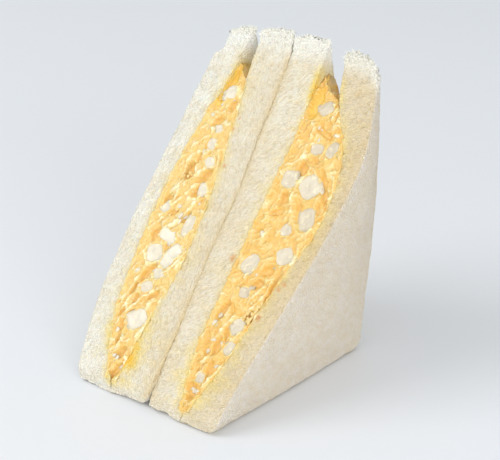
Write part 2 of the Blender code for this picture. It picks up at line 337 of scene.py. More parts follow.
# Ridges of cream that the knife drew out: the pixels that each one runs through, read in the same way
CREAM_RIDGES = {
    "egg_salad_left": (
        ((222, 103), (230, 94), (238, 86)),
        ((213, 126), (212, 134), (204, 138), (190, 147)),
        ((203, 150), (192, 154), (182, 172), (182, 179)),
        ((197, 165), (195, 176), (186, 181), (170, 193)),
        ((219, 150), (217, 166), (208, 169), (198, 172)),
        ((200, 180), (180, 199), (160, 213)),
        ((200, 197), (180, 217), (160, 230)),
        ((178, 237), (168, 243), (157, 262)),
        ((185, 252), (178, 262), (160, 276)),
        ((147, 262), (137, 279), (122, 297)),
        ((139, 285), (127, 300), (121, 309)),
        ((160, 288), (140, 298), (122, 314)),
        ((156, 300), (133, 317), (124, 322)),
        ((157, 309), (143, 328), (135, 337)),
        ((122, 330), (123, 341), (130, 339)),
    ),
    "egg_salad_right": (
        ((309, 121), (314, 128), (306, 148), (305, 157)),
        ((305, 155), (297, 160), (285, 166)),
        ((306, 160), (320, 180), (320, 196), (313, 206)),
        ((311, 168), (297, 184), (291, 204), (291, 212), (282, 222)),
        ((283, 191), (271, 208)),
        ((338, 103), (338, 112), (331, 121)),
        ((340, 124), (331, 131)),
        ((336, 140), (330, 148), (325, 156)),
        ((334, 177), (331, 195), (324, 206)),
        ((299, 248), (293, 263), (275, 277), (264, 282)),
        ((271, 281), (263, 298), (257, 316)),
        ((264, 287), (247, 302)),
        ((262, 300), (249, 309)),
        ((271, 258), (260, 269)),
        ((282, 226), (276, 236)),
        ((272, 226), (262, 236)),
        ((259, 256), (252, 268), (245, 277)),
        ((236, 316), (228, 322), (214, 338)),
        ((244, 325), (238, 333)),
        ((252, 323), (243, 348), (225, 362), (200, 388)),
        ((206, 357), (200, 364), (197, 375)),
    ),
}
# How finely a hollow is read: along the cut, across it, its length, its width and its turn in degrees
HOLLOW_STEPS = (1, 0.1, 0.1, 0.1, 1)
RIDGE_STEPS = (1, 0.1)
SPECK_STEP = 0.1
# How much of its width a hollow's round ends add to its length
ROUND_ENDS_SHARE = 0.6

FRONT = -BASE_LENGTH / 2
BACK = BASE_LENGTH / 2
CUT_START = np.array([FRONT, FRONT_TIP_HEIGHT])
CUT_ALONG = np.array([math.cos(CUT_LEAN), math.sin(CUT_LEAN)])
CUT_OUTWARD = np.array([-math.sin(CUT_LEAN), math.cos(CUT_LEAN)])
CORNER_AT = float((np.array([BACK, 0.0]) - CUT_START) @ CUT_ALONG)
BOX_LOW, BOX_HIGH = (np.array(corner) / MM for corner in CAD_BOX)

# The camera, fitted to the photograph, and what its pixels are measured by
CAMERA_AZIMUTH = math.radians(39.74)
CAMERA_ELEVATION = math.radians(24.46)
CAMERA_DISTANCE = 0.6998
CAMERA_TARGET = Vector((0.00858, 0.0, 0.06043))
CAMERA_LENS = 136.8
SENSOR_WIDTH = 36.0
PHOTO_SIZE = np.array([500, 460])
FOCAL_PIXELS = CAMERA_LENS / SENSOR_WIDTH * PHOTO_SIZE[0]
CAMERA_BACK = np.array([
    math.sin(CAMERA_AZIMUTH) * math.cos(CAMERA_ELEVATION),
    -math.cos(CAMERA_AZIMUTH) * math.cos(CAMERA_ELEVATION),
    math.sin(CAMERA_ELEVATION),
])
CAMERA_RIGHT = np.array([math.cos(CAMERA_AZIMUTH), math.sin(CAMERA_AZIMUTH), 0])
CAMERA_UP = np.cross(CAMERA_BACK, CAMERA_RIGHT)
# The camera's eye in millimetres, with x counted from the seam
EYE = (np.array(CAMERA_TARGET) + CAMERA_BACK * CAMERA_DISTANCE) / MM - (SEAM_SHIFT, 0, 0)

# Cells of the mesh of a slice: along the cut, inward from it and across; of a filling: along and around
SLICE_CELLS = {
    "bread_outer_left": (430, 56, 44),
    "bread_inner_left": (480, 34, 56),
    "bread_inner_right": (480, 34, 56),
    "bread_outer_right": (430, 60, 42),
}
FILLING_ROWS = 560
FILLING_RING = (104, 10, 12)


def srgb(red, green, blue):
    """A linear colour from the three display values of 0 to 255."""
    shares = np.array([red, green, blue]) / 255
    linear = np.where(shares > 0.04045, ((shares + 0.055) / 1.055) ** 2.4, shares / 12.92)
    return tuple(float(v) for v in linear)


class BreadSettings(bpy.types.PropertyGroup):
    rim_radius: bpy.props.FloatProperty(
        name="Rim radius", description="Roundness of a slice's outer edges", default=1.7 * MM, unit="LENGTH"
    )
    pore_width: bpy.props.FloatProperty(
        name="Pore width", description="Width of the small pores", default=1.15 * MM, unit="LENGTH"
    )
    pore_depth: bpy.props.FloatProperty(
        name="Pore depth", description="Depth of the small pores", default=0.27 * MM, unit="LENGTH"
    )
    hole_width: bpy.props.FloatProperty(
        name="Hole width", description="Width of the few larger holes", default=2.9 * MM, unit="LENGTH"
    )
    hole_depth: bpy.props.FloatProperty(
        name="Hole depth", description="Depth of the few larger holes", default=0.5 * MM, unit="LENGTH"
    )
    white: bpy.props.FloatVectorProperty(
        name="White crumb", description="Whitest crumb", default=srgb(243, 241, 229), subtype="COLOR"
    )
    tan: bpy.props.FloatVectorProperty(
        name="Tan crumb", description="Crumb where it is tan", default=srgb(225, 204, 166), subtype="COLOR"
    )
    stain: bpy.props.FloatVectorProperty(
        name="Stain", description="Crumb soaked by the filling", default=srgb(243, 219, 140), subtype="COLOR"
    )
    smear: bpy.props.FloatVectorProperty(
        name="Smear", description="Yolk smeared on the crumb", default=srgb(248, 200, 84), subtype="COLOR"
    )
    torn: bpy.props.FloatVectorProperty(
        name="Torn crumb", description="Torn threads and tips", default=srgb(245, 243, 234), subtype="COLOR"
    )
    outside: bpy.props.FloatVectorProperty(
        name="Outside", description="The flat faces of a slice", default=srgb(239, 233, 227), subtype="COLOR"
    )
    speck: bpy.props.FloatVectorProperty(
        name="Speck", description="The few brownish specks", default=srgb(226, 168, 112), subtype="COLOR"
    )


class EggSaladSettings(bpy.types.PropertyGroup):
    ridge_height: bpy.props.FloatProperty(
        name="Ridge height", description="How far ridges stand up", default=0.9 * MM, unit="LENGTH"
    )
    hollow_depth: bpy.props.FloatProperty(
        name="Hollow depth", description="Depth of the hollows", default=1.2 * MM, unit="LENGTH"
    )
    yolk: bpy.props.FloatVectorProperty(
        name="Yolk", description="The deepest yolk colour", default=srgb(235, 186, 93), subtype="COLOR"
    )
    mash: bpy.props.FloatVectorProperty(
        name="Mash", description="The mashed yolk", default=srgb(236, 205, 131), subtype="COLOR"
    )
    cream: bpy.props.FloatVectorProperty(
        name="Cream", description="The palest cream", default=srgb(252, 240, 200), subtype="COLOR"
    )
    amber: bpy.props.FloatVectorProperty(
        name="Amber", description="The smooth yolk at the top", default=srgb(240, 194, 84), subtype="COLOR"
    )
    egg_white: bpy.props.FloatVectorProperty(
        name="Egg white", description="The whitest egg white", default=srgb(228, 221, 203), subtype="COLOR"
    )
    warm_egg_white: bpy.props.FloatVectorProperty(
        name="Warm egg white", description="Its warmest", default=srgb(196, 180, 151), subtype="COLOR"
    )


class StageSettings(bpy.types.PropertyGroup):
    floor: bpy.props.FloatVectorProperty(
        name="Floor", description="The floor's colour", default=srgb(234, 236, 240), subtype="COLOR"
    )
    key_power: bpy.props.FloatProperty(
        name="Key light", description="The soft light from the upper left", default=7.7, unit="POWER"
    )
    fill_power: bpy.props.FloatProperty(
        name="Fill light", description="The soft light from the right", default=10.5, unit="POWER"
    )
    sky: bpy.props.FloatProperty(
        name="Room light", description="Even light from all round", default=0.7, min=0.0
    )


# Noise, as whole arrays

TABLE_SIZE = 4096
TABLE_RANDOM = np.random.default_rng(20)
GRADIENTS = TABLE_RANDOM.normal(size=(TABLE_SIZE, 3))
GRADIENTS /= np.linalg.norm(GRADIENTS, axis=1, keepdims=True)
CENTRES = TABLE_RANDOM.random((TABLE_SIZE, 3))
LOTS = TABLE_RANDOM.random(TABLE_SIZE)
CUBE_CORNERS = np.stack(np.meshgrid((0, 1), (0, 1), (0, 1), indexing="ij"), -1).reshape(-1, 3)
NEIGHBOURS = np.stack(np.meshgrid((-1, 0, 1), (-1, 0, 1), (-1, 0, 1), indexing="ij"), -1).reshape(-1, 3)
NOISE_GAIN = 1.6


def drawn_lot(cells, seed):
    """A row of the seeded tables for each cell: its three whole numbers, mixed by odd factors and shifts."""
    cells = cells.astype(np.int64).astype(np.uint32)
    mixed = cells[..., 0] * np.uint32(73856093) ^ cells[..., 1] * np.uint32(19349663)
    mixed = mixed ^ cells[..., 2] * np.uint32(83492791) ^ np.uint32(seed * 7919 + 13)
    mixed = (mixed ^ (mixed >> np.uint32(15))) * np.uint32(2246822519)
    mixed = (mixed ^ (mixed >> np.uint32(13))) * np.uint32(3266489917)
    return (mixed ^ (mixed >> np.uint32(16))) % np.uint32(TABLE_SIZE)


def soft_noise(points, width, seed):
    """Gradient noise, about -1 to 1: slopes drawn at the corners of cells, blended by a quintic."""
    scaled = np.asarray(points, float) / width
    cell = np.floor(scaled)
    inside = scaled - cell
    fade = inside**3 * (inside * (inside * 6 - 15) + 10)
    total = np.zeros(len(scaled))
    for corner in CUBE_CORNERS:
        slope = GRADIENTS[drawn_lot(cell + corner, seed)]
        share = np.prod(np.where(corner, fade, 1 - fade), axis=1)
        total += share * np.einsum("ij,ij->i", slope, inside - corner)
    return total * NOISE_GAIN


def cell_noise(points, width, seed):
    """Cell noise: how far the nearest centre is, how much further the next one is, and the cell's own lot."""
    scaled = np.asarray(points, float) / width
    cell = np.floor(scaled)
    inside = scaled - cell
    first = np.full(len(scaled), 9.0)
    second = first.copy()
    lot = np.zeros(len(scaled))
    for offset in NEIGHBOURS:
        row = drawn_lot(cell + offset, seed)
        away = np.linalg.norm(offset + CENTRES[row] - inside, axis=1)
        nearer = away < first
        second = np.where(nearer, first, np.minimum(second, away))
        lot = np.where(nearer, LOTS[row], lot)
        first = np.where(nearer, away, first)
    return first, second - first, lot


def ease(low, high, values):
    """0 below low, 1 above high, and a smooth cubic between."""
    share = np.clip((values - low) / (high - low), 0, 1)
    return share * share * (3 - 2 * share)


def drawn_out(points, direction, stretch):
    """Points squeezed along a direction, so that a pattern on them comes out stretched along it."""
    direction = np.asarray(direction, float) / np.linalg.norm(direction)
    return points - np.outer(points @ direction, direction) * (1 - 1 / stretch)


# The form of the sandwich


def smooth_through(values, at):
    """A smooth line through one value at each station: cubic Hermite, with the slope of its neighbours."""
    stations = np.array(STATIONS)
    values = np.array(values, float)
    slopes = np.gradient(values, stations)
    i = np.clip(np.searchsorted(stations, at, side="right") - 1, 0, len(stations) - 2)
    step = stations[i + 1] - stations[i]
    t = (at - stations[i]) / step
    start = values[i] * (1 + 2 * t) * (1 - t) ** 2 + slopes[i] * step * t * (1 - t) ** 2
    end = values[i + 1] * t**2 * (3 - 2 * t) + slopes[i + 1] * step * t**2 * (t - 1)
    return start + end


def cut_line(at):
    """Point (y, z) on the knife cut: straight, but for the top tip, which flares out a little."""
    flare = TIP_FLARE * np.clip((at - CUT_LENGTH) / TIP_FLARE_LENGTH + 1, 0, 1) ** 2
    return CUT_START + np.outer(at, CUT_ALONG) + np.outer(flare, CUT_OUTWARD)


def trimmed_edges(at):
    """Point (y, z) on the two trimmed edges: along the base to the rounded back corner, then up the back."""
    arc = BACK_CORNER_RADIUS * math.pi / 2
    base = BASE_LENGTH - BACK_CORNER_RADIUS
    rise = BACK_HEIGHT - BACK_CORNER_RADIUS
    run = np.where(
        at < CORNER_AT,
        at / CORNER_AT * (base + arc / 2),
        base + arc / 2 + (at - CORNER_AT) / (CUT_LENGTH - CORNER_AT) * (arc / 2 + rise),
    )
    turn = np.clip((run - base) / BACK_CORNER_RADIUS, 0, math.pi / 2)
    y = FRONT + np.minimum(run, base) + BACK_CORNER_RADIUS * np.sin(turn)
    z = BACK_CORNER_RADIUS * (1 - np.cos(turn)) + np.maximum(run - base - arc, 0)
    return np.stack([y, z], -1)


def side_view(at, depth):
    """Point (y, z) of the triangle: straight from the cut, at depth 0, to the trimmed edges, at depth 1."""
    return cut_line(at) + (trimmed_edges(at) - cut_line(at)) * depth[:, None]


def run_to_edge(at):
    """How far it is from the cut to the trimmed edges, from this place on the cut."""
    return np.linalg.norm(trimmed_edges(at) - cut_line(at), axis=-1)


def layer_sides(name, at, depth):
    """X of a layer's left and right side, counted out from the seam.

    The dome over the filling is full at the cut, depth 0, and gone at the trimmed edges, depth 1.
    """
    dome = (1 - depth**2) ** DOME_POWER

    def domed(values):
        at_cut, at_edge = (smooth_through(row, at) for row in values)
        return at_edge + (at_cut - at_edge) * dome

    for half, sign in ((LEFT_HALF, -1), (RIGHT_HALF, 1)):
        side = domed(SEAM)
        for layer in half:
            outer = side + sign * domed(THICKNESS[layer])
            if layer == name:
                return (outer, side) if sign < 0 else (side, outer)
            side = outer
    raise KeyError(name)


def placed(x, yz):
    """Points of the part from x, counted from the seam, and (y, z), kept inside the part's own box."""
    points = np.column_stack([x + SEAM_SHIFT, yz])
    return np.clip(points, BOX_LOW, BOX_HIGH)


def on_cut(at, x, out):
    """Points on the knife cut, at places along and across it, and so far out of it."""
    return placed(x, cut_line(at) + np.outer(out, CUT_OUTWARD))


def seen_on_cut(pixels):
    """Places (along, across) on the knife cut that the photograph shows at pixels (right, down).

    The ray from the camera's eye through a pixel is followed to the flat of the cut.
    """
    aside = (np.asarray(pixels, float) - PHOTO_SIZE / 2) @ np.array([CAMERA_RIGHT, -CAMERA_UP])
    rays = aside - CAMERA_BACK * FOCAL_PIXELS
    reach = (CUT_START - EYE[1:]) @ CUT_OUTWARD / (rays[..., 1:] @ CUT_OUTWARD)
    spots = EYE + rays * reach[..., None]
    return np.stack([(spots[..., 1:] - CUT_START) @ CUT_ALONG, spots[..., 0]], -1)


def rounded(values, steps):
    """Values rounded to whole steps: as finely as they can be read off the photograph."""
    return np.round(values / np.array(steps)) * steps


def hollow_places(name):
    """The hollows of a filling: place along and across, length, width and turn in degrees, as for the dice.

    A hollow's two ends give its place, run and turn. Its width is read square to them in the photograph, and
    taken square to its run on the cut.
    """
    upper, lower = np.array([ends for *ends, _ in SHADED_YOLK_HOLLOWS[name]], float).transpose(1, 0, 2)
    wide = np.array([[pixels] for *_, pixels in SHADED_YOLK_HOLLOWS[name]])
    middle, run = (upper + lower) / 2, lower - upper
    square = run[:, ::-1] * (-1, 1) / np.linalg.norm(run, axis=1, keepdims=True) * wide / 2
    start, end, one_side, other_side = seen_on_cut([upper, lower, middle + square, middle - square])
    run, over = end - start, one_side - other_side
    length = np.linalg.norm(run, axis=1)
    width = np.abs(over[:, 0] * run[:, 1] - over[:, 1] * run[:, 0]) / length
    turn = 90 - (np.degrees(np.arctan2(run[:, 1], run[:, 0])) + 90) % 180
    places = np.column_stack([(start + end) / 2, length + ROUND_ENDS_SHARE * width, width, turn])
    return rounded(places, HOLLOW_STEPS)


# Meshes from arrays


def box_lattice(cells):
    """The closed surface of a box of cells: its whole-number points, and its quads.

    Each of the six sides is a grid of quads. The points that sides share are found by their key, and merged.
    """
    size = np.array(cells)
    sides = []
    for axis in range(3):
        first, second = (axis + 1) % 3, (axis + 2) % 3
        i, j = np.meshgrid(np.arange(size[first]), np.arange(size[second]), indexing="ij")
        low = np.zeros(i.shape + (4, 3), int)
        for corner, (step_i, step_j) in enumerate(((0, 0), (1, 0), (1, 1), (0, 1))):
            low[..., corner, first] = i + step_i
            low[..., corner, second] = j + step_j
        low = low.reshape(-1, 4, 3)
        high = low.copy()
        high[..., axis] = size[axis]
        sides += [low, high[:, ::-1]]
    corners = np.concatenate(sides)
    rows, columns = size[1] + 1, size[2] + 1
    keys, quads = np.unique(
        (corners[..., 0] * rows + corners[..., 1]) * columns + corners[..., 2], return_inverse=True
    )
    points = np.stack([keys // (rows * columns), keys // columns % rows, keys % columns], 1)
    return points, quads.reshape(-1, 4)


def tube(rows, ring):
    """Faces of a closed tube: rows of points around it, and one more point that closes each end.

    Its points are counted row by row, and the two ends come last.
    """
    i, j = np.meshgrid(np.arange(rows - 1), np.arange(ring), indexing="ij")
    following = (j + 1) % ring
    quads = np.stack([i * ring + j, i * ring + following, (i + 1) * ring + following, (i + 1) * ring + j], -1)
    around = np.arange(ring)
    after = (around + 1) % ring
    last_row = (rows - 1) * ring
    start = np.stack([after, around, np.full(ring, rows * ring)], -1)
    end = np.stack([last_row + around, last_row + after, np.full(ring, rows * ring + 1)], -1)
    return [quads.reshape(-1, 4), start, end]


def ball(rows, ring):
    """Directions all round, in rows from top to bottom and then the two poles, in a closed tube's order."""
    polar = np.linspace(0, math.pi, rows + 2)[1:-1]
    turn = np.arange(ring) / ring * 2 * math.pi
    polar, turn = (angles.ravel() for angles in np.meshgrid(polar, turn, indexing="ij"))
    ways = np.stack([np.sin(polar) * np.cos(turn), np.sin(polar) * np.sin(turn), np.cos(polar)], 1)
    return np.concatenate([ways, [[0, 0, 1], [0, 0, -1]]])


def outward(points, quads):
    """Unit normals at the points: the crossed diagonals of their quads, added up."""
    corners = points[quads]
    crossed = np.cross(corners[:, 2] - corners[:, 0], corners[:, 3] - corners[:, 1])
    total = np.zeros_like(points)
    for corner in range(4):
        for axis in range(3):
            total[:, axis] += np.bincount(quads[:, corner], crossed[:, axis], len(points))
    return total / np.maximum(np.linalg.norm(total, axis=1, keepdims=True), 1e-9)


def piece_from(name, points, faces, material, marks=None):
    """A smooth-shaded object from points in millimetres and arrays of faces, with marks at the points."""
    mesh = bpy.data.meshes.new(name)
    corners = np.concatenate([group.ravel() for group in faces])
    counts = np.concatenate([np.full(len(group), group.shape[1]) for group in faces])
    mesh.vertices.add(len(points))
    mesh.vertices.foreach_set("co", (points * MM).astype(np.float32).ravel())
    mesh.loops.add(len(corners))
    mesh.loops.foreach_set("vertex_index", corners.astype(np.int32))
    mesh.polygons.add(len(counts))
    mesh.polygons.foreach_set("loop_start", np.concatenate([[0], np.cumsum(counts)[:-1]]).astype(np.int32))
    mesh.polygons.foreach_set("use_smooth", np.ones(len(counts), bool))
    mesh.update(calc_edges=True)
    mesh.validate()
    for mark, values in (marks or {}).items():
        values = np.asarray(values, np.float32)
        layer = mesh.attributes.new(mark, "FLOAT" if values.ndim == 1 else "FLOAT_VECTOR", "POINT")
        layer.data.foreach_set("value" if values.ndim == 1 else "vector", values.ravel())
    mesh.materials.append(material)
    made = bpy.data.objects.new(name, mesh)
    bpy.context.scene.collection.objects.link(made)
    return made


# The slices of bread


def fine_at_ends(share, fineness):
    """Spreads even steps from 0 to 1 so that those near both ends are finer: a sine taken off the line."""
    return share - fineness / (2 * math.pi) * np.sin(2 * math.pi * share)


def along_fibres(name, points, more=1.0):
    """Points squeezed along a slice's fibres, so that a pattern on them is drawn out along the fibres."""
    lean = math.radians(FIBRE_LEAN[name])
    fibre = (math.sin(lean), *(CUT_ALONG * math.cos(lean)))
    return drawn_out(points, fibre, FIBRE_STRETCH[name] * more)


def crumb_relief(name, points, seed, settings):
    """Relief of bread crumb, in millimetres, below 0 in the pores.

    Each cell of cell noise is a pit of its own depth between thin walls, drawn out along the fibres; the few
    larger holes are bowls; softer noise makes the whole uneven.
    """
    wander = np.stack([soft_noise(points, 2.2, seed + n) for n in range(3)], 1) * 0.5
    fibres = along_fibres(name, points) + wander
    _, wall, lot = cell_noise(fibres, settings.pore_width / MM, seed + 3)
    relief = -settings.pore_depth / MM * (0.3 + lot) * ease(0.04, 0.5, wall)
    near, _, lot = cell_noise(fibres + wander, settings.hole_width / MM, seed + 4)
    relief -= settings.hole_depth / MM * lot**2 * ease(0.6, 0.1, near)
    relief += 0.2 * soft_noise(along_fibres(name, points, 1.8), 0.9, seed + 5)
    relief += 0.25 * soft_noise(points, 4.5, seed + 6) + 0.3 * soft_noise(points, 14, seed + 7)
    return relief


def torn_top(name, depth, across, along, seed):
    """Where a slice ends: its top, lowered by the depth of its tear but where soft noise leaves a spike."""
    spot = np.column_stack([depth * 6, across * 15, along * 0])
    spike = 1.1 * np.maximum(soft_noise(spot, 1.3, seed), 0) + 0.5 * np.abs(soft_noise(spot, 4.0, seed + 1))
    top = np.interp(across, np.linspace(0, 1, 4), TOP_OF_SLICE[name])
    return top - TORN_TOP[name] * (1 - np.minimum(spike, 1)) * ease(0.93, 1.0, along)


def rolled_edge(name, at, from_seam):
    """How far a slice's face stands out beside the seam: humps and dips along the cut, gone 5 mm from it."""
    swell = 0 * at
    for middle, spread, height in ROLLED_EDGE[name]:
        swell += height * np.exp(-(((at - middle) / spread) ** 2))
    return swell * ease(5.0, 0.5, from_seam)


def make_slice(name, seed, settings, material):
    """A slice: a box with rounded rims, bent to the triangle, with crumb relief along its normals.

    In lengths along the cut, inward from it and across, a point of the box is clamped to the box less the
    rim's radius, and then set at that radius from where it was clamped.
    """
    cells = SLICE_CELLS[name]
    lattice, quads = box_lattice(cells)
    along, depth, across = (lattice / np.array(cells)).T
    depth = fine_at_ends(depth, 0.8)
    across = fine_at_ends(across, 0.3)
    along = fine_at_ends(along, 0.3)
    top = torn_top(name, depth, across, along, seed)
    at = top * along
    reach = run_to_edge(at)
    touching = FILLING_SIDE[name]
    has_seam = name in ROLLED_EDGE
    filling = "egg_salad_left" if name in LEFT_HALF else "egg_salad_right"
    seam_gap = SEAM_PRESS + (GAP - SEAM_PRESS) * (ease(0.88, 0.98, along) + 0.8 * ease(16, 0, at))
    filling_gap = GAP / 2 - TIP_PRESS[filling] * ease(TIP_PRESS_REACH, 0, at)
    gaps = [seam_gap if has_seam else GAP / 2, filling_gap]
    rims = [SEAM_RIM if has_seam else settings.rim_radius / MM, FILLING_RIM]
    if touching == 0:
        gaps.reverse()
        rims.reverse()
    left, right = layer_sides(name, at, depth)
    width = right - left - sum(gaps)
    lengths = np.column_stack([at, depth * reach, across * width])
    limits = np.column_stack([top, reach, width])
    radius = np.interp(across, (0, 1), rims) * (1 - 0.5 * ease(0.86, 0.97, along) * has_seam)
    radius = radius + 0.8 * ease(0.9, 1.0, along)
    radius = np.minimum(radius, limits.min(axis=1) * 0.45)[:, None]
    by_seam = np.abs(across - touching) * has_seam * ease(2 * SEAM_RIM, SEAM_RIM, depth * reach)
    flatter = 1 - (1 - SEAM_RIM_DEPTH_SHARE) * ease(0.4, 0.6, by_seam)
    radius = radius * np.column_stack([np.ones(len(at)), flatter, np.ones(len(at))])
    inner = np.clip(lengths, radius, limits - radius)
    away = (lengths - inner) / radius
    lengths = inner + away * radius / np.maximum(np.linalg.norm(away, axis=1, keepdims=True), 1e-9)
    at = lengths[:, 0]
    depth = np.clip(lengths[:, 1] / np.maximum(run_to_edge(at), 1e-3), 0, 1)
    left, right = layer_sides(name, at, depth)
    x = left + gaps[0] + (right - left - sum(gaps)) * np.clip(lengths[:, 2] / width, 0, 1)
    if name == "bread_outer_left":
        x = x + NECK_DEPTH * ease(*NECK_BELOW, at) * ease(*NECK_ABOVE, at) * (1 - across) ** 2
    points = np.column_stack([x, side_view(at, depth)])
    normals = outward(points, quads)
    flat = np.abs(normals[:, 0])
    beside = np.abs(across - touching) * width
    relief = crumb_relief(name, points, seed * 20, settings)
    hidden = (flat > 0.7) & ((across < 0.5) == (touching == 0))
    strength = np.where(hidden, 0.3, 1 - 0.55 * ease(0.6, 0.95, flat))
    fluff = ease(0.95, 0.985, along)
    relief = relief * strength - 0.1 + fluff * 0.7 * np.maximum(soft_noise(points, 1.0, seed + 9), 0)
    from_seam = np.abs(across - (1 - touching)) * width
    if has_seam:
        relief += rolled_edge(name, at, from_seam) * ease(2.5, 0.5, depth * reach)
    points = points + normals * relief[:, None]
    points = placed(points[:, 0], points[:, 1:])
    broad = soft_noise(points, 12, seed + 11)
    tan = np.interp(at, (0, CUT_LENGTH / 2, CUT_LENGTH), TAN[name]) + 0.12 * broad
    soaked = 0.9 + 0.9 * soft_noise(points, 5, seed + 12) + 0.5 * soft_noise(points, 1.6, seed + 13)
    soaked = np.clip(soaked, 0.3, 2.2) * (1 + STAIN_SPREAD[name] * ease(36, 12, at))
    widths_in = beside / (STAIN_WIDTH[name] * soaked)
    stain = np.exp(-widths_in) + 0.15 * np.exp(-widths_in / 2)
    filling_top = FILLING_SPAN[filling][1]
    stain = stain * (0.85 + 0.15 * broad) * ease(filling_top + 9, filling_top - 3, at + 2 * broad)
    stain = stain * ease(1.5, 5.5, points[:, 2] * (1 + 0.3 * broad)) * (1 + 0.4 * ease(36, 12, at))
    above_tip = ease(4.5, 8.0, points[:, 2] + broad)
    for place, spread, width_here, strength in SMEARS[name]:
        smeared = np.exp(-(((at - place) / spread) ** 2) - (beside / (width_here * (1 + 0.4 * broad))) ** 2)
        stain = np.maximum(stain, strength * smeared * (0.6 + 0.45 * soaked) * above_tip)
    # Painted shade: the crumb is coloured darker along the valley where the two slices meet at the seam
    crease = 0 * at
    if has_seam:
        crease = np.exp(-((from_seam / (CREASE_SHADE_WIDTH * (1 + 0.4 * broad))) ** 2))
        crease = crease * ease(3.5, 1.0, depth * reach) * ease(0.98, 0.9, along)
    blot = 0 * at
    for pixel, size in SPECKS[name]:
        place, across_at = rounded(seen_on_cut(pixel), SPECK_STEP)
        spread = size * (1 + 0.5 * soft_noise(points, 1.3, seed + 14))
        apart = (at - place) ** 2 + (points[:, 0] - SEAM_SHIFT - across_at) ** 2
        apart = apart / np.maximum(spread, 0.2) ** 2
        blot = np.maximum(blot, np.exp(-(apart**1.5)) * ease(3, 1, depth * reach))
    marks = {
        "fibres": along_fibres(name, points) * MM,
        "tan": np.clip(tan, 0, 1),
        "torn": np.clip(WHITER[name] + 0.75 * ease(0.91, 0.985, along) + 0.15 * ease(14, 4, at), 0, 0.9),
        "stain": np.clip(stain * (1 - 0.6 * flat * ~hidden), 0, 2),
        "speck": blot,
        "crease": crease,
        "outside": ease(0.7, 0.95, flat),
        # Painted shade: the crumb is coloured darker where its relief sinks in
        "sunken": ease(0.0, -0.7, relief),
    }
    return piece_from(name + "_crumb", points, [quads], material, marks)


def make_tufts(name, slice_piece, seed, material):
    """Tufts of torn crumb on a slice's top and along its cut rims: short bent threads that taper to a point.

    Each is a tube of a few rings round a bent line, which starts under the surface at a point of the slice.
    """
    rng = np.random.default_rng(seed)
    mesh = slice_piece.data
    spots = np.empty(len(mesh.vertices) * 3, np.float32)
    ways = np.empty_like(spots)
    mesh.vertices.foreach_get("co", spots)
    mesh.vertex_normals.foreach_get("vector", ways)
    spots, ways = spots.reshape(-1, 3) / MM, ways.reshape(-1, 3)
    height = (spots[:, 2] - CUT_START[1]) / CUT_ALONG[1]
    rim = (np.abs(ways[:, 0]) > 0.45) & (np.abs(ways[:, 0]) < 0.9) & (ways[:, 1] < -0.1)
    chance = ease(139, 143, height) * (ways[:, 2] > 0.3) + 0.04 * rim * ease(60, 125, height)
    chosen = rng.choice(len(spots), TUFTS[name], replace=False, p=chance / chance.sum())
    count, rings, ring = len(chosen), 4, 5
    way = ways[chosen] + rng.normal(0, 0.4, (count, 3))
    way /= np.linalg.norm(way, axis=1, keepdims=True)
    bend = np.cross(way, rng.normal(size=(count, 3)))
    length = (0.4 + 1.6 * rng.random(count) ** 2) * (0.5 + 0.5 * ease(136, 143, height[chosen]))
    length = length[:, None, None]
    share = np.linspace(0, 1, rings)[None, :, None]
    line = spots[chosen][:, None] + (way[:, None] * share + bend[:, None] * 0.5 * share**2) * length
    line = line - way[:, None] * 0.25
    side = bend / np.linalg.norm(bend, axis=1, keepdims=True)
    other = np.cross(way, side)
    angle = (np.arange(ring) / ring * 2 * math.pi)[None, None, :, None]
    thick = rng.uniform(0.13, 0.27, count)[:, None, None] * (1.05 - share) * (1 + 0.5 * np.sin(share * 5))
    thick = thick[..., None]
    around = side[:, None, None] * np.cos(angle) + other[:, None, None] * np.sin(angle)
    points = (line[:, :, None] + around * thick).reshape(count, -1, 3)
    tip = way[:, None] * 0.1
    points = np.concatenate([points, line[:, :1] - tip, line[:, -1:] + tip], axis=1)
    firsts = np.arange(count)[:, None, None] * points.shape[1]
    faces = [(group[None] + firsts).reshape(-1, group.shape[1]) for group in tube(rings, ring)]
    points = np.clip(points.reshape(-1, 3), BOX_LOW, BOX_HIGH)
    return piece_from(name + "_tufts", points, faces, material)


# The filling

STRAND_WAY = (1, 0.6, 0)
# Lines of cream: how wide apart they lie, their share of a ridge's height, and how long they run unbroken
STRANDS = ((3.6, 0.8, 6.0), (1.9, 0.65, 4.0), (1.2, 0.5, 2.6), (0.8, 0.32, 1.8))
# How creamy a filling is between its lines of cream
CREAM = {"egg_salad_left": 0.21, "egg_salad_right": 0.05}
# How much further a filling reaches up on its left side than in its middle, how far its narrow top leans to
# that side, and how far the top's front edge is rounded
LEFT_LIFT = {"egg_salad_left": 1.5, "egg_salad_right": 2.5}
TOP_TO_LEFT = 0.6
TOP_ROUNDED = 1.0
# Where the random draws of a filling's face start, which its bits of egg white follow
FILLING_SEED = {"egg_salad_left": 200, "egg_salad_right": 250}


def beside_ridge(at, x, ridge):
    """How far each point is from a ridge: the least distance to the straight stretches between its places."""
    spot = np.column_stack([at, x])
    nearest = np.full(len(at), 99.0)
    for start, end in zip(ridge[:-1], ridge[1:]):
        step = end - start
        share = np.clip((spot - start) @ step / (step @ step), 0, 1)
        nearest = np.minimum(nearest, np.linalg.norm(spot - start - share[:, None] * step, axis=1))
    return nearest


def within(at, x, place, squareness=2.0):
    """1 on the outline of a place in the cut, less inside it: a rounded oblong, turned."""
    middle, across, length, width, turn = place
    lean = math.radians(turn)
    down = (at - middle) * math.cos(lean) - (x - across) * math.sin(lean)
    over = (at - middle) * math.sin(lean) + (x - across) * math.cos(lean)
    shares = np.abs(down * 2 / length) ** squareness + np.abs(over * 2 / width) ** squareness
    return shares ** (1 / squareness)


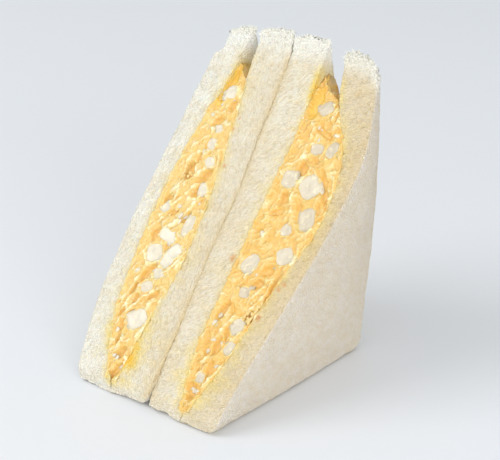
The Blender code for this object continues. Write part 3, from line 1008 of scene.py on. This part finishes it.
def cream_surface(name, at, x, seed, settings):
    """The cut face of a filling: how far it stands out, and how creamy it is, from yolk at 0 to cream at 1.

    Where drawn-out soft noise passes through nought it leaves lines of cream, broken up by broader noise, at
    four widths. Hollows of yolk go in, the deeper the broader they are, and the drawn ridges stand out. Both
    wander. In the hollows the colour goes to deep yolk, partly the yolk's own and partly painted shade. The
    first hollow is the smooth one at the top. Under each dice the mash is low, and it rises to a broken lip
    round it.
    """
    spot = np.column_stack([at, x, at * 0])
    wander = np.stack([soft_noise(spot, 4.5, seed + n) for n in (0, 1)], 1)
    wander += 0.35 * np.stack([soft_noise(spot, 1.4, seed + 8 + n) for n in (0, 1)], 1)
    at_w, x_w = at + 0.8 * wander[:, 0], x + 0.8 * wander[:, 1]
    drawn = drawn_out(spot + np.column_stack([wander * 1.6, at * 0]), STRAND_WAY, 2.3)
    lumpy = ease(-0.6, 0.6, soft_noise(spot, 7, seed + 18))
    height = 0.5 * soft_noise(spot, 6.5, seed + 6) + 0.3 * soft_noise(drawn, 1.6, seed + 12)
    height += (0.1 + 0.22 * lumpy) * soft_noise(drawn, 0.75, seed + 13)
    cream = CREAM[name] + 0.12 * soft_noise(spot, 5, seed + 7) + 0.16 * soft_noise(drawn, 0.9, seed + 14)
    for n, (width, share, breaks) in enumerate(STRANDS):
        line = np.exp(-((soft_noise(drawn, width, seed + 2 + n) / 0.16) ** 2))
        line = line * ease(-0.3, 0.5, soft_noise(spot, breaks, seed + 15 + n))
        height += settings.ridge_height / MM * share * line
        cream += 0.56 * share * line
    for n, place in enumerate(hollow_places(name)):
        hollow = 1 - ease(0.55, 1.2, within(at_w, x_w, place))
        deep = settings.hollow_depth / MM * (0.8 if n == 0 else (place[3] / 3) ** 1.1)
        height = height * (1 - (0.95 if n == 0 else 0.6) * hollow) - deep * hollow
        # Towards deep yolk in the hollows: partly the yolk's own colour, partly painted shade
        cream = cream * (1 - (0.9 if n == 0 else 0.7) * hollow) - 0.04 * hollow
    for n, pixels in enumerate(CREAM_RIDGES[name]):
        away = beside_ridge(at_w, x_w, rounded(seen_on_cut(pixels), RIDGE_STEPS))
        size = 0.75 + 0.45 * soft_noise(spot, 2.5, seed + 20 + n)
        bump = np.exp(-((away / (0.6 * np.maximum(size, 0.2))) ** 2))
        height += settings.ridge_height / MM * bump * size
        cream += 0.55 * bump * size
    for n, place in enumerate(EGG_WHITE[name]):
        edge = within(at, x, place, 3.0)
        room = (edge - 1) * min(place[2:4]) / 2
        broken = ease(-0.4, 0.6, soft_noise(spot, 2.2, seed + 50 + n))
        lip = np.exp(-((room / 0.4) ** 2)) * broken
        height = np.where(edge < 1, np.minimum(height, -1.1 * ease(0.98, 0.6, edge)), height) + 0.45 * lip
        cream += 0.4 * lip
    return height, cream


def drawn_back(name, at):
    """How far a filling's face lies behind the knife cut: not at all, but for its upper end."""
    end = FILLING_SPAN[name][1]
    return FILLING_DRAWN_BACK[name] * np.clip((at - DRAWN_BACK_FROM) / (end - DRAWN_BACK_FROM), 0, 1) ** 2


FACE_RECESS = 0.55
SIDE_OVERLAP = 0.45


def make_filling(name, seed, settings, material):
    """A filling: a closed tube along the cut, its ring a face in the cut, two sides and an inner end."""
    face, side, inner = FILLING_RING
    out = np.linspace(0, 1, side + 1)[1:] ** 1.8
    across_ring = np.concatenate([
        fine_at_ends(np.linspace(0, 1, face + 1), 0.3),
        np.ones(side),
        np.linspace(1, 0, inner + 1)[1:],
        np.zeros(side - 1),
    ])
    inward_ring = np.concatenate([np.zeros(face + 1), out, np.ones(inner), out[::-1][1:]])
    ring = len(across_ring)
    start, end = FILLING_SPAN[name]
    along = fine_at_ends(np.linspace(0.0, 1, FILLING_ROWS), 0.4)
    along = along * 0.999 + 0.0005
    at_row = start + (end - start) * along
    at = np.repeat(at_row, ring)
    roundness = np.repeat(np.sqrt(1 - np.abs(2 * along - 1) ** FILLING_END_SQUARENESS), ring)
    end_share = np.where(at < CUT_LENGTH / 2, FILLING_TIP_WIDTH_SHARE, FILLING_END_WIDTH_SHARE)
    width_share = end_share + (1 - end_share) * roundness
    across = np.tile(across_ring, FILLING_ROWS)
    inward = np.tile(inward_ring, FILLING_ROWS)
    near_top = np.repeat(along, ring)
    at = at + LEFT_LIFT[name] * (1 - 2 * across) * ease(0.9, 1.0, near_top)
    lump = soft_noise(np.column_stack([across * 18, inward * 60, at * 0]), 5, seed + 95)
    at = at + (1.2 * lump - TOP_ROUNDED * ease(0.09, 0.0, inward)) * ease(0.96, 1.0, near_top)
    recess = (FACE_RECESS + drawn_back(name, at)) / run_to_edge(at)
    depth = recess + (FILLING_DEPTH_SHARE - recess) * inward
    left, right = layer_sides(name, at, depth)
    half = (right - left) / 2 + SIDE_OVERLAP
    shown = ease(0.02, 0.0, inward)
    edge_spot = np.column_stack([at, np.where(across > 0.5, 40.0, 0.0), at * 0])
    smear = 0.45 + 0.8 * soft_noise(edge_spot, 3.6, seed + 90) + 0.35 * soft_noise(edge_spot, 1.2, seed + 91)
    smear = np.clip(smear, 0.0, 1.6)
    half = half + smear * shown
    to_left = TOP_TO_LEFT * (1 - width_share) * (at > CUT_LENGTH / 2)
    x = (left + right) / 2 + half * ((2 * across - 1) * width_share - to_left)
    height, cream = cream_surface(name, at, x, seed, settings)
    margin = np.minimum(across, 1 - across) * half * 2
    height = height * ease(0, 1.0, margin) + (0.4 + 0.35 * smear) * ease(1.3, 0.2, margin)
    yz = side_view(at, depth) + np.outer(height * shown, CUT_OUTWARD)
    points = np.column_stack([x, yz])
    ends = np.stack([points[:ring].mean(axis=0), points[-ring:].mean(axis=0)])
    points = np.concatenate([points, ends])
    smooth = 1 - ease(0.75, 1.2, within(at, x, hollow_places(name)[0]))
    marks = {
        "cream": np.concatenate([np.clip(cream, 0, 1), [0.3, 0.3]]),
        "smooth": np.concatenate([smooth, [0, 0]]),
    }
    points = placed(points[:, 0], points[:, 1:])
    return piece_from(name + "_mash", points, tube(FILLING_ROWS, ring), material, marks)


# The diced egg white

# Rows and points a row of a dice, of a small bit and of a yolk crumb
DICE_GRID = (24, 44)
BIT_GRID = (9, 16)
CRUMB_GRID = (4, 7)
BITS = {"egg_salad_left": 30, "egg_salad_right": 36}
# How white the egg white is, from warm at 0 to white at 1
EGG_WHITE_TONE = {"egg_salad_left": 0.9, "egg_salad_right": 0.4}
BIT_WHITER = 0.6
DICE_SHARPNESS = 14
# Thickness out of the cut, the share of it above the middle, and how far the tops stand out
DICE_THICK = 5.0
BIT_THICK = 1.3
DICE_ABOVE = 0.3
DICE_OUT = -0.05
BIT_OUT = 0.12
# Patches of yolk crumbs: the middle (along the cut, across), the spread and how many
YOLK_PATCHES = {
    "egg_salad_left": (((95, -19), (14, 2.5), 16), ((40, -20), (16, 3), 20), ((65, -15), (18, 4), 16)),
    "egg_salad_right": (((40.5, 32), (3.4, 1.9), 56), ((70, 27), (20, 5), 20), ((28, 28), (8, 3), 12)),
}


def dice_points(grid, length, width, thick, rng):
    """One dice round its own middle: a ball drawn in to flat sides.

    In each direction the radius is one over a high-power mean of the sides' shares, where a side's share is
    the cosine of the angle to it over its distance, so that the sides are flat and their edges soft. Four
    sides stand almost square, one or two cut a corner off, and two close it above and below.
    """
    ways = ball(*grid)
    quarter = math.pi / 2
    corners = rng.choice(4, rng.integers(1, 3), replace=False) * quarter + quarter / 2
    angles = np.concatenate([np.arange(4) * quarter, corners])
    angles = angles + rng.uniform(-0.26, 0.26, len(angles))
    lean = rng.uniform(-0.3, 0.1, len(angles))
    sides = np.stack([np.cos(angles), np.sin(angles), lean], 1)
    away = (np.abs(np.cos(angles)) ** 1.5 * length + np.abs(np.sin(angles)) ** 1.5 * width) / 2
    away = away * rng.uniform(0.95, 1.08, len(angles))
    above = [rng.uniform(-0.1, 0.1), rng.uniform(-0.1, 0.1), 1]
    sides = np.concatenate([sides, [above, [0, 0, -1]]])
    sides /= np.linalg.norm(sides, axis=1, keepdims=True)
    away = np.concatenate([away, [thick * DICE_ABOVE, thick * (1 - DICE_ABOVE)]])
    shares = np.maximum(ways @ sides.T, 0) / away
    radius = 1 / np.sum(shares**DICE_SHARPNESS, axis=1) ** (1 / DICE_SHARPNESS)
    return ways * radius[:, None]


def clear_of_dice(name, at, x, room):
    """Whether places in the cut keep clear of all the measured dice, by a share of each dice's size."""
    return np.all([within(at, x, place, 3.0) > room for place in EGG_WHITE[name]], axis=0)


def egg_white_places(name, rng, settings):
    """The measured dice, and small bits spread at random between the filling's sides.

    Each is its place, its grid, its thickness and how far its top stands out of the filling's level: a bit
    lies on the mash, as high or low as that is there.
    """
    end = FILLING_SPAN[name][1]
    dice = [(place, DICE_GRID, DICE_THICK, DICE_OUT) for place in EGG_WHITE[name]]
    at = rng.uniform(6, end - 12, BITS[name])
    left, right = layer_sides(name, at, at * 0)
    x = left + (right - left) * rng.uniform(0.1, 0.9, len(at))
    length, width = rng.uniform(1.1, 2.8, len(at)), rng.uniform(0.8, 1.9, len(at))
    turn = rng.normal(-math.degrees(math.atan(STRAND_WAY[1])), 35, len(at))
    clear = clear_of_dice(name, at, x, 1.5)
    height, _ = cream_surface(name, at, x, FILLING_SEED[name], settings)
    places = zip(at, x, length, width, turn)
    bits = [(place, BIT_GRID, BIT_THICK, out + BIT_OUT) for place, out in zip(places, height)]
    return dice + [bit for bit, keep in zip(bits, clear) if keep]


def make_egg_white(name, seed, settings, material):
    """All the egg white of one filling, as one mesh: each piece is set in the cut and turned in its plane.

    Its mark is a tone from warm at 0 to white at 1, one for each piece.
    """
    rng = np.random.default_rng(seed)
    points, quads, ends, tones = [], [], [], []
    count = 0
    for place, grid, thick, stands_out in egg_white_places(name, rng, settings):
        at, x, length, width, turn = place
        shape = dice_points(grid, length, width, thick, rng)
        lean = math.radians(turn)
        down, over, out = shape.T
        level = stands_out + rng.uniform(-0.2, 0.2)
        level = level - FACE_RECESS - drawn_back(name, np.array([at]))[0]
        spots = on_cut(
            at + down * math.cos(lean) + over * math.sin(lean),
            x - down * math.sin(lean) + over * math.cos(lean),
            out - thick * DICE_ABOVE + level,
        )
        rough = 0.1 * soft_noise(spots, 1.2, seed) + 0.2 * soft_noise(spots, 3.0, seed + 1)
        points.append(spots + np.outer(rough, (0, *CUT_OUTWARD)))
        whiter = BIT_WHITER * (thick == BIT_THICK)
        tones.append(np.full(len(spots), EGG_WHITE_TONE[name] + whiter + rng.uniform(-0.25, 0.25)))
        body, start, end = tube(*grid)
        quads.append(body + count)
        ends += [start + count, end + count]
        count += len(spots)
    faces = [np.concatenate(quads), np.concatenate(ends)]
    marks = {"tone": np.clip(np.concatenate(tones), 0, 1)}
    return piece_from(name + "_egg_white", np.concatenate(points), faces, material, marks)


def make_yolk_crumbs(name, seed, material):
    """Crumbs of hard yolk: small lumpy balls, thick on the patches that show them and sparse elsewhere.

    Each is a ball of a few rings, its radius varied by soft noise.
    """
    rng = np.random.default_rng(seed)
    patches = [rng.normal(middle, spread, (count, 2)) for middle, spread, count in YOLK_PATCHES[name]]
    spot = np.concatenate(patches)
    end = FILLING_SPAN[name][1]
    spot = spot[(spot[:, 0] > 5) & (spot[:, 0] < end - 3) & clear_of_dice(name, *spot.T, 1.25)]
    left, right = layer_sides(name, spot[:, 0], spot[:, 0] * 0)
    spot[:, 1] = np.clip(spot[:, 1], left + 0.9, right - 0.9)
    ways = ball(*CRUMB_GRID)
    size =rng.uniform(0.3, 0.8, len(spot))
    sunk = FACE_RECESS + 0.2 + drawn_back(name, spot[:, 0])
    middles = on_cut(spot[:, 0], spot[:, 1], rng.uniform(-0.3, 0.3, len(spot)) - sunk)
    points = (middles[:, None] + ways[None] * size[:, None, None]).reshape(-1, 3)
    points = points + 0.3 * np.stack([soft_noise(points, 0.7, seed + n) for n in range(3)], 1)
    firsts = np.arange(len(spot))[:, None, None] * len(ways)
    groups = tube(*CRUMB_GRID)
    faces = [(group[None] + firsts).reshape(-1, group.shape[1])[:, ::-1] for group in groups]
    return piece_from(name + "_yolk_crumbs", points, faces, material)


# Materials


def node(tree, kind, **sockets):
    """A node of the tree, with the sockets named here set to values, or linked where one is given."""
    made = tree.nodes.new(kind)
    for key, value in sockets.items():
        socket = made.inputs[int(key[1:])] if key[0] == "i" and key[1:].isdigit() else made.inputs[key]
        if isinstance(value, bpy.types.NodeSocket):
            tree.links.new(value, socket)
        else:
            socket.default_value = value
    return made


def material_with_shader(name):
    """A material with its Principled shader, its node tree and the object's own coordinates."""
    made = bpy.data.materials.new(name)
    made.use_nodes = True
    tree = made.node_tree
    here = tree.nodes.new("ShaderNodeTexCoord").outputs["Object"]
    return made, tree, tree.nodes["Principled BSDF"], here


def colours(settings, *names):
    """The colours of these names in a group of settings."""
    return [tuple(getattr(settings, name)) for name in names]


def mark(tree, name, output="Fac"):
    """The value of a mark that a mesh carries at its points."""
    reader = tree.nodes.new("ShaderNodeAttribute")
    reader.attribute_name = name
    return reader.outputs[output]


def cell_walls(tree, here, per_metre):
    """How far it is to the nearest wall between cells, as a share of a cell's width."""
    made = node(tree, "ShaderNodeTexVoronoi", Vector=here, Scale=per_metre)
    made.feature = "DISTANCE_TO_EDGE"
    return made.outputs["Distance"]


def noise(tree, here, per_metre, detail=3.0, roughness=0.5):
    made = node(tree, "ShaderNodeTexNoise", Vector=here, Scale=per_metre, Detail=detail, Roughness=roughness)
    return made.outputs["Fac"]


def mix(tree, share, first, second, blend="MIX"):
    """Two colours mixed by a share: each is a socket or a colour."""
    made = tree.nodes.new("ShaderNodeMix")
    made.data_type = "RGBA"
    made.blend_type = blend
    for value, socket in ((share, 0), (first, 6), (second, 7)):
        if isinstance(value, bpy.types.NodeSocket):
            tree.links.new(value, made.inputs[socket])
        elif socket == 0:
            made.inputs[0].default_value = value
        else:
            made.inputs[socket].default_value = (*value, 1)
    return made.outputs[2]


def ranged(tree, value, low, high, to_low, to_high):
    """A value's range brought to another range, and held within it."""
    made = tree.nodes.new("ShaderNodeMapRange")
    tree.links.new(value, made.inputs["Value"])
    for key, number in (("From Min", low), ("From Max", high), ("To Min", to_low), ("To Max", to_high)):
        made.inputs[key].default_value = number
    return made.outputs["Result"]


def added(tree, first, second):
    """The sum of two values."""
    return node(tree, "ShaderNodeMath", i0=first, i1=second).outputs[0]


def bumped(tree, shader, height, distance, strength=1.0):
    bump = node(tree, "ShaderNodeBump", Height=height, Distance=distance, Strength=strength)
    tree.links.new(bump.outputs["Normal"], shader.inputs["Normal"])


def crumb_material(settings):
    """Bread crumb: white to tan, with painted shade in its pores, dips and seam valley, smoother outside, and
    yellow where soaked.
    """
    made, tree, shader, here = material_with_shader("bread_crumb")
    white, tan, stain, outside = colours(settings, "white", "tan", "stain", "outside")
    torn, smear, speck = colours(settings, "torn", "smear", "speck")
    fibres = mark(tree, "fibres", "Vector")
    base = mix(tree, mark(tree, "tan"), white, tan)
    base = mix(tree, ranged(tree, mark(tree, "outside"), 0, 1, 0, 0.75), base, outside)
    blotch = ranged(tree, noise(tree, here, 260, 5, 0.6), 0.35, 0.7, 0, 0.4)
    base = mix(tree, blotch, base, tan)
    pores = cell_walls(tree, fibres, 900)
    fine_pores = cell_walls(tree, fibres, 1900)
    # Painted shade: a darker warm colour mixed in towards the middle of each pore, where the relief sinks in
    # and along the seam's valley
    shade = tuple(c * warm for c, warm in zip(tan, (0.96, 0.93, 0.78)))
    base = mix(tree, ranged(tree, pores, 0.06, 0.4, 0, 0.4), base, shade)
    base = mix(tree, ranged(tree, mark(tree, "sunken"), 0, 1, 0, 0.4), base, shade)
    base = mix(tree, ranged(tree, mark(tree, "crease"), 0, 1, 0, 0.95), base, shade)
    base = mix(tree, mark(tree, "torn"), base, torn)
    uneven = ranged(tree, noise(tree, here, 500), 0.3, 0.7, 0.6, 1.1)
    soaked = node(tree, "ShaderNodeMath", i0=mark(tree, "stain"), i1=uneven)
    soaked.operation = "MULTIPLY"
    base = mix(tree, ranged(tree, soaked.outputs[0], 0, 1, 0, 1), base, stain)
    base = mix(tree, ranged(tree, soaked.outputs[0], 0.9, 1.8, 0, 1), base, smear)
    base = mix(tree, ranged(tree, mark(tree, "speck"), 0, 1, 0, 0.8), base, speck)
    tree.links.new(base, shader.inputs["Base Color"])
    shader.inputs["Roughness"].default_value = 0.9
    shader.inputs["Subsurface Weight"].default_value = 0.2
    shader.inputs["Subsurface Radius"].default_value = (1.0, 0.8, 0.5)
    shader.inputs["Subsurface Scale"].default_value = 0.0006
    shader.inputs["Specular IOR Level"].default_value = 0.2
    crumb = ranged(tree, pores, 0.0, 0.35, 1, 0)
    crumb = added(tree, crumb, ranged(tree, fine_pores, 0.0, 0.4, 0.5, 0))
    crumb = added(tree, crumb, ranged(tree, noise(tree, fibres, 1500, 4, 0.6), 0.25, 0.75, 0, 0.8))
    bumped(tree, shader, crumb, 0.00036)
    return made


def torn_material(settings):
    """The torn threads of crumb: whiter than the cut crumb, and matt."""
    made, tree, shader, here = material_with_shader("torn_crumb")
    torn, white = colours(settings, "torn", "white")
    tone = ranged(tree, noise(tree, here, 400, 3), 0.3, 0.7, 0, 0.6)
    tree.links.new(mix(tree, tone, torn, white), shader.inputs["Base Color"])
    shader.inputs["Roughness"].default_value = 0.95
    shader.inputs["Specular IOR Level"].default_value = 0.2
    return made


def mash_material(settings):
    """Mashed yolk in cream: yolk in the hollows, partly painted shade there, cream on the ridges, wet."""
    made, tree, shader, here = material_with_shader("egg_mash")
    yolk, mash, cream, amber = colours(settings, "yolk", "mash", "cream", "amber")
    flecks = ranged(tree, noise(tree, here, 900, 4, 0.6), 0.3, 0.7, -0.14, 0.14)
    creamy = added(tree, mark(tree, "cream"), flecks)
    low = mix(tree, ranged(tree, creamy, 0.0, 0.42, 0, 1), yolk, mash)
    base = mix(tree, ranged(tree, creamy, 0.45, 0.95, 0, 1), low, cream)
    base = mix(tree, mark(tree, "smooth"), base, amber)
    tree.links.new(base, shader.inputs["Base Color"])
    tree.links.new(ranged(tree, mark(tree, "smooth"), 0, 1, 0.4, 0.22), shader.inputs["Roughness"])
    shader.inputs["Subsurface Weight"].default_value = 0.35
    shader.inputs["Subsurface Radius"].default_value = (1.0, 0.6, 0.25)
    shader.inputs["Subsurface Scale"].default_value = 0.0009
    shader.inputs["Coat Weight"].default_value = 0.35
    shader.inputs["Coat Roughness"].default_value = 0.22
    bumped(tree, shader, noise(tree, here, 1500, 4, 0.6), 0.00025)
    return made


def egg_white_material(settings):
    """Boiled egg white: cloudy, smooth and moist, with a thin film of cream here and there."""
    made, tree, shader, here = material_with_shader("egg_white")
    white, warm, cream = colours(settings, "egg_white", "warm_egg_white", "cream")
    base = mix(tree, mark(tree, "tone"), warm, white)
    base = mix(tree, ranged(tree, noise(tree, here, 220, 3), 0.35, 0.65, 0, 0.35), base, warm)
    base = mix(tree, ranged(tree, noise(tree, here, 420, 4, 0.6), 0.54, 0.68, 0, 0.45), base, cream)
    tree.links.new(base, shader.inputs["Base Color"])
    shader.inputs["Roughness"].default_value = 0.38
    shader.inputs["Subsurface Weight"].default_value = 0.25
    shader.inputs["Subsurface Radius"].default_value = (1.0, 0.85, 0.6)
    shader.inputs["Subsurface Scale"].default_value = 0.0006
    shader.inputs["Coat Weight"].default_value = 0.3
    shader.inputs["Coat Roughness"].default_value = 0.25
    bumped(tree, shader, noise(tree, here, 600, 3), 0.0002)
    return made


def yolk_material(settings):
    """Hard yolk: matt and grainy."""
    made, tree, shader, here = material_with_shader("hard_yolk")
    mash, cream = colours(settings, "mash", "cream")
    grain = ranged(tree, noise(tree, here, 900, 3), 0.3, 0.7, 0, 0.35)
    tree.links.new(mix(tree, grain, mash, cream), shader.inputs["Base Color"])
    shader.inputs["Roughness"].default_value = 0.75
    bumped(tree, shader, noise(tree, here, 2600, 3), 0.0002)
    return made


def floor_material(settings):
    """A matt pale floor with a barely seen unevenness."""
    made, tree, shader, here = material_with_shader("pale_floor")
    tone = ranged(tree, noise(tree, here, 6, 2), 0.3, 0.7, 0, 1)
    (floor,) = colours(settings, "floor")
    tree.links.new(mix(tree, tone, floor, tuple(0.985 * c for c in floor)), shader.inputs["Base Color"])
    shader.inputs["Roughness"].default_value = 0.75
    return made


def dressed(piece, node_name):
    """Puts a piece on the sandwich's body, in place of its solid."""
    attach(piece, "root")
    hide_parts(node_name)


# Operators


class SANDWICH_OT_bread(bpy.types.Operator):
    """Make the four slices of crustless bread"""

    bl_idname = "sandwich.bread"
    bl_label = "Bread slices"

    def execute(self, context):
        settings = context.scene.sandwich_bread
        material = crumb_material(settings)
        for seed, name in enumerate(SLICES):
            dressed(make_slice(name, seed + 1, settings, material), name)
        return {"FINISHED"}


class SANDWICH_OT_torn_crumb(bpy.types.Operator):
    """Make the tufts of torn crumb on the slices' tops and rims; the slices have to be there"""

    bl_idname = "sandwich.torn_crumb"
    bl_label = "Torn crumb"

    def execute(self, context):
        material = torn_material(context.scene.sandwich_bread)
        for seed, name in enumerate(SLICES):
            slice_piece = bpy.data.objects[name + "_crumb"]
            dressed(make_tufts(name, slice_piece, seed + 30, material), name)
        return {"FINISHED"}


class SANDWICH_OT_egg_salad(bpy.types.Operator):
    """Make the two fillings of mashed egg"""

    bl_idname = "sandwich.egg_salad"
    bl_label = "Egg salad"

    def execute(self, context):
        settings = context.scene.sandwich_egg_salad
        material = mash_material(settings)
        for name in FILLINGS:
            dressed(make_filling(name, FILLING_SEED[name], settings, material), name)
        return {"FINISHED"}


class SANDWICH_OT_egg_white(bpy.types.Operator):
    """Set the diced egg white into the fillings"""

    bl_idname = "sandwich.egg_white"
    bl_label = "Diced egg white"

    def execute(self, context):
        settings = context.scene.sandwich_egg_salad
        material = egg_white_material(settings)
        for seed, name in enumerate(FILLINGS):
            dressed(make_egg_white(name, seed + 60, settings, material), name)
        return {"FINISHED"}


class SANDWICH_OT_yolk_crumbs(bpy.types.Operator):
    """Scatter crumbs of hard yolk over the fillings"""

    bl_idname = "sandwich.yolk_crumbs"
    bl_label = "Yolk crumbs"

    def execute(self, context):
        material = yolk_material(context.scene.sandwich_egg_salad)
        for seed, name in enumerate(FILLINGS):
            dressed(make_yolk_crumbs(name, seed + 80, material), name)
        return {"FINISHED"}


FLOOR_HALF = 3.0
LIGHT_SIZE = 0.9


def soft_light(name, place, power, colour):
    """A square soft light that looks at the sandwich's middle."""
    light = bpy.data.lights.new(name, "AREA")
    light.size = LIGHT_SIZE
    light.energy = power
    light.color = colour
    made = bpy.data.objects.new(name, light)
    made.location = place
    made.rotation_euler = (Vector(place) - CAMERA_TARGET).to_track_quat("Z", "Y").to_euler()
    bpy.context.scene.collection.objects.link(made)


class SANDWICH_OT_stage(bpy.types.Operator):
    """Set up the pale floor, the soft lights and the camera"""

    bl_idname = "sandwich.stage"
    bl_label = "Stage"

    def execute(self, context):
        scene = context.scene
        settings = scene.sandwich_stage
        mesh = bpy.data.meshes.new("floor")
        corners = [(x * FLOOR_HALF, y * FLOOR_HALF, 0) for x, y in ((-1, -1), (1, -1), (1, 1), (-1, 1))]
        mesh.from_pydata(corners, [], [(0, 1, 2, 3)])
        mesh.materials.append(floor_material(settings))
        floor = bpy.data.objects.new("floor", mesh)
        scene.collection.objects.link(floor)
        soft_light("key_light", (-0.62, -0.8, 1.0), settings.key_power, (0.985, 0.985, 0.965))
        soft_light("fill_light", (1.05, -0.7, 0.3), settings.fill_power, (0.98, 0.985, 1.0))
        world = bpy.data.worlds.new("room")
        world.use_nodes = True
        background = world.node_tree.nodes["Background"]
        background.inputs["Color"].default_value = (0.93, 0.96, 0.975, 1)
        background.inputs["Strength"].default_value = settings.sky
        scene.world = world
        camera = bpy.data.objects.new("camera", bpy.data.cameras.new("camera"))
        back = Vector(CAMERA_BACK)
        camera.location = CAMERA_TARGET + back * CAMERA_DISTANCE
        camera.rotation_euler = back.to_track_quat("Z", "Y").to_euler()
        camera.data.lens = CAMERA_LENS
        camera.data.clip_end = 20
        scene.collection.objects.link(camera)
        scene.camera = camera
        scene.view_settings.view_transform = "Standard"
        return {"FINISHED"}


class SANDWICH_PT_panel(bpy.types.Panel):
    """The sandwich's pieces and settings"""

    bl_idname = "SANDWICH_PT_panel"
    bl_label = "Egg Salad Sandwich"
    bl_space_type = "VIEW_3D"
    bl_region_type = "UI"
    bl_category = "Sandwich"

    def draw(self, context):
        layout = self.layout
        for operator in OPERATORS:
            layout.operator(operator.bl_idname)
        for group in SETTINGS:
            box = layout.box()
            settings = getattr(context.scene, group)
            for name in settings.__annotations__:
                box.prop(settings, name)


OPERATORS = (
    SANDWICH_OT_bread,
    SANDWICH_OT_torn_crumb,
    SANDWICH_OT_egg_salad,
    SANDWICH_OT_egg_white,
    SANDWICH_OT_yolk_crumbs,
    SANDWICH_OT_stage,
)
SETTINGS = {
    "sandwich_bread": BreadSettings,
    "sandwich_egg_salad": EggSaladSettings,
    "sandwich_stage": StageSettings,
}
CLASSES = (*SETTINGS.values(), *OPERATORS, SANDWICH_PT_panel)


def register():
    for made in CLASSES:
        bpy.utils.register_class(made)
    for name, group in SETTINGS.items():
        setattr(bpy.types.Scene, name, bpy.props.PointerProperty(type=group))


def unregister():
    for name in SETTINGS:
        delattr(bpy.types.Scene, name)
    for made in reversed(CLASSES):
        bpy.utils.unregister_class(made)


def main():
    register()
    bpy.ops.sandwich.bread()
    bpy.ops.sandwich.torn_crumb()
    bpy.ops.sandwich.egg_salad()
    bpy.ops.sandwich.egg_white()
    bpy.ops.sandwich.yolk_crumbs()
    bpy.ops.sandwich.stage()


if __name__ == "__main__":
    main()
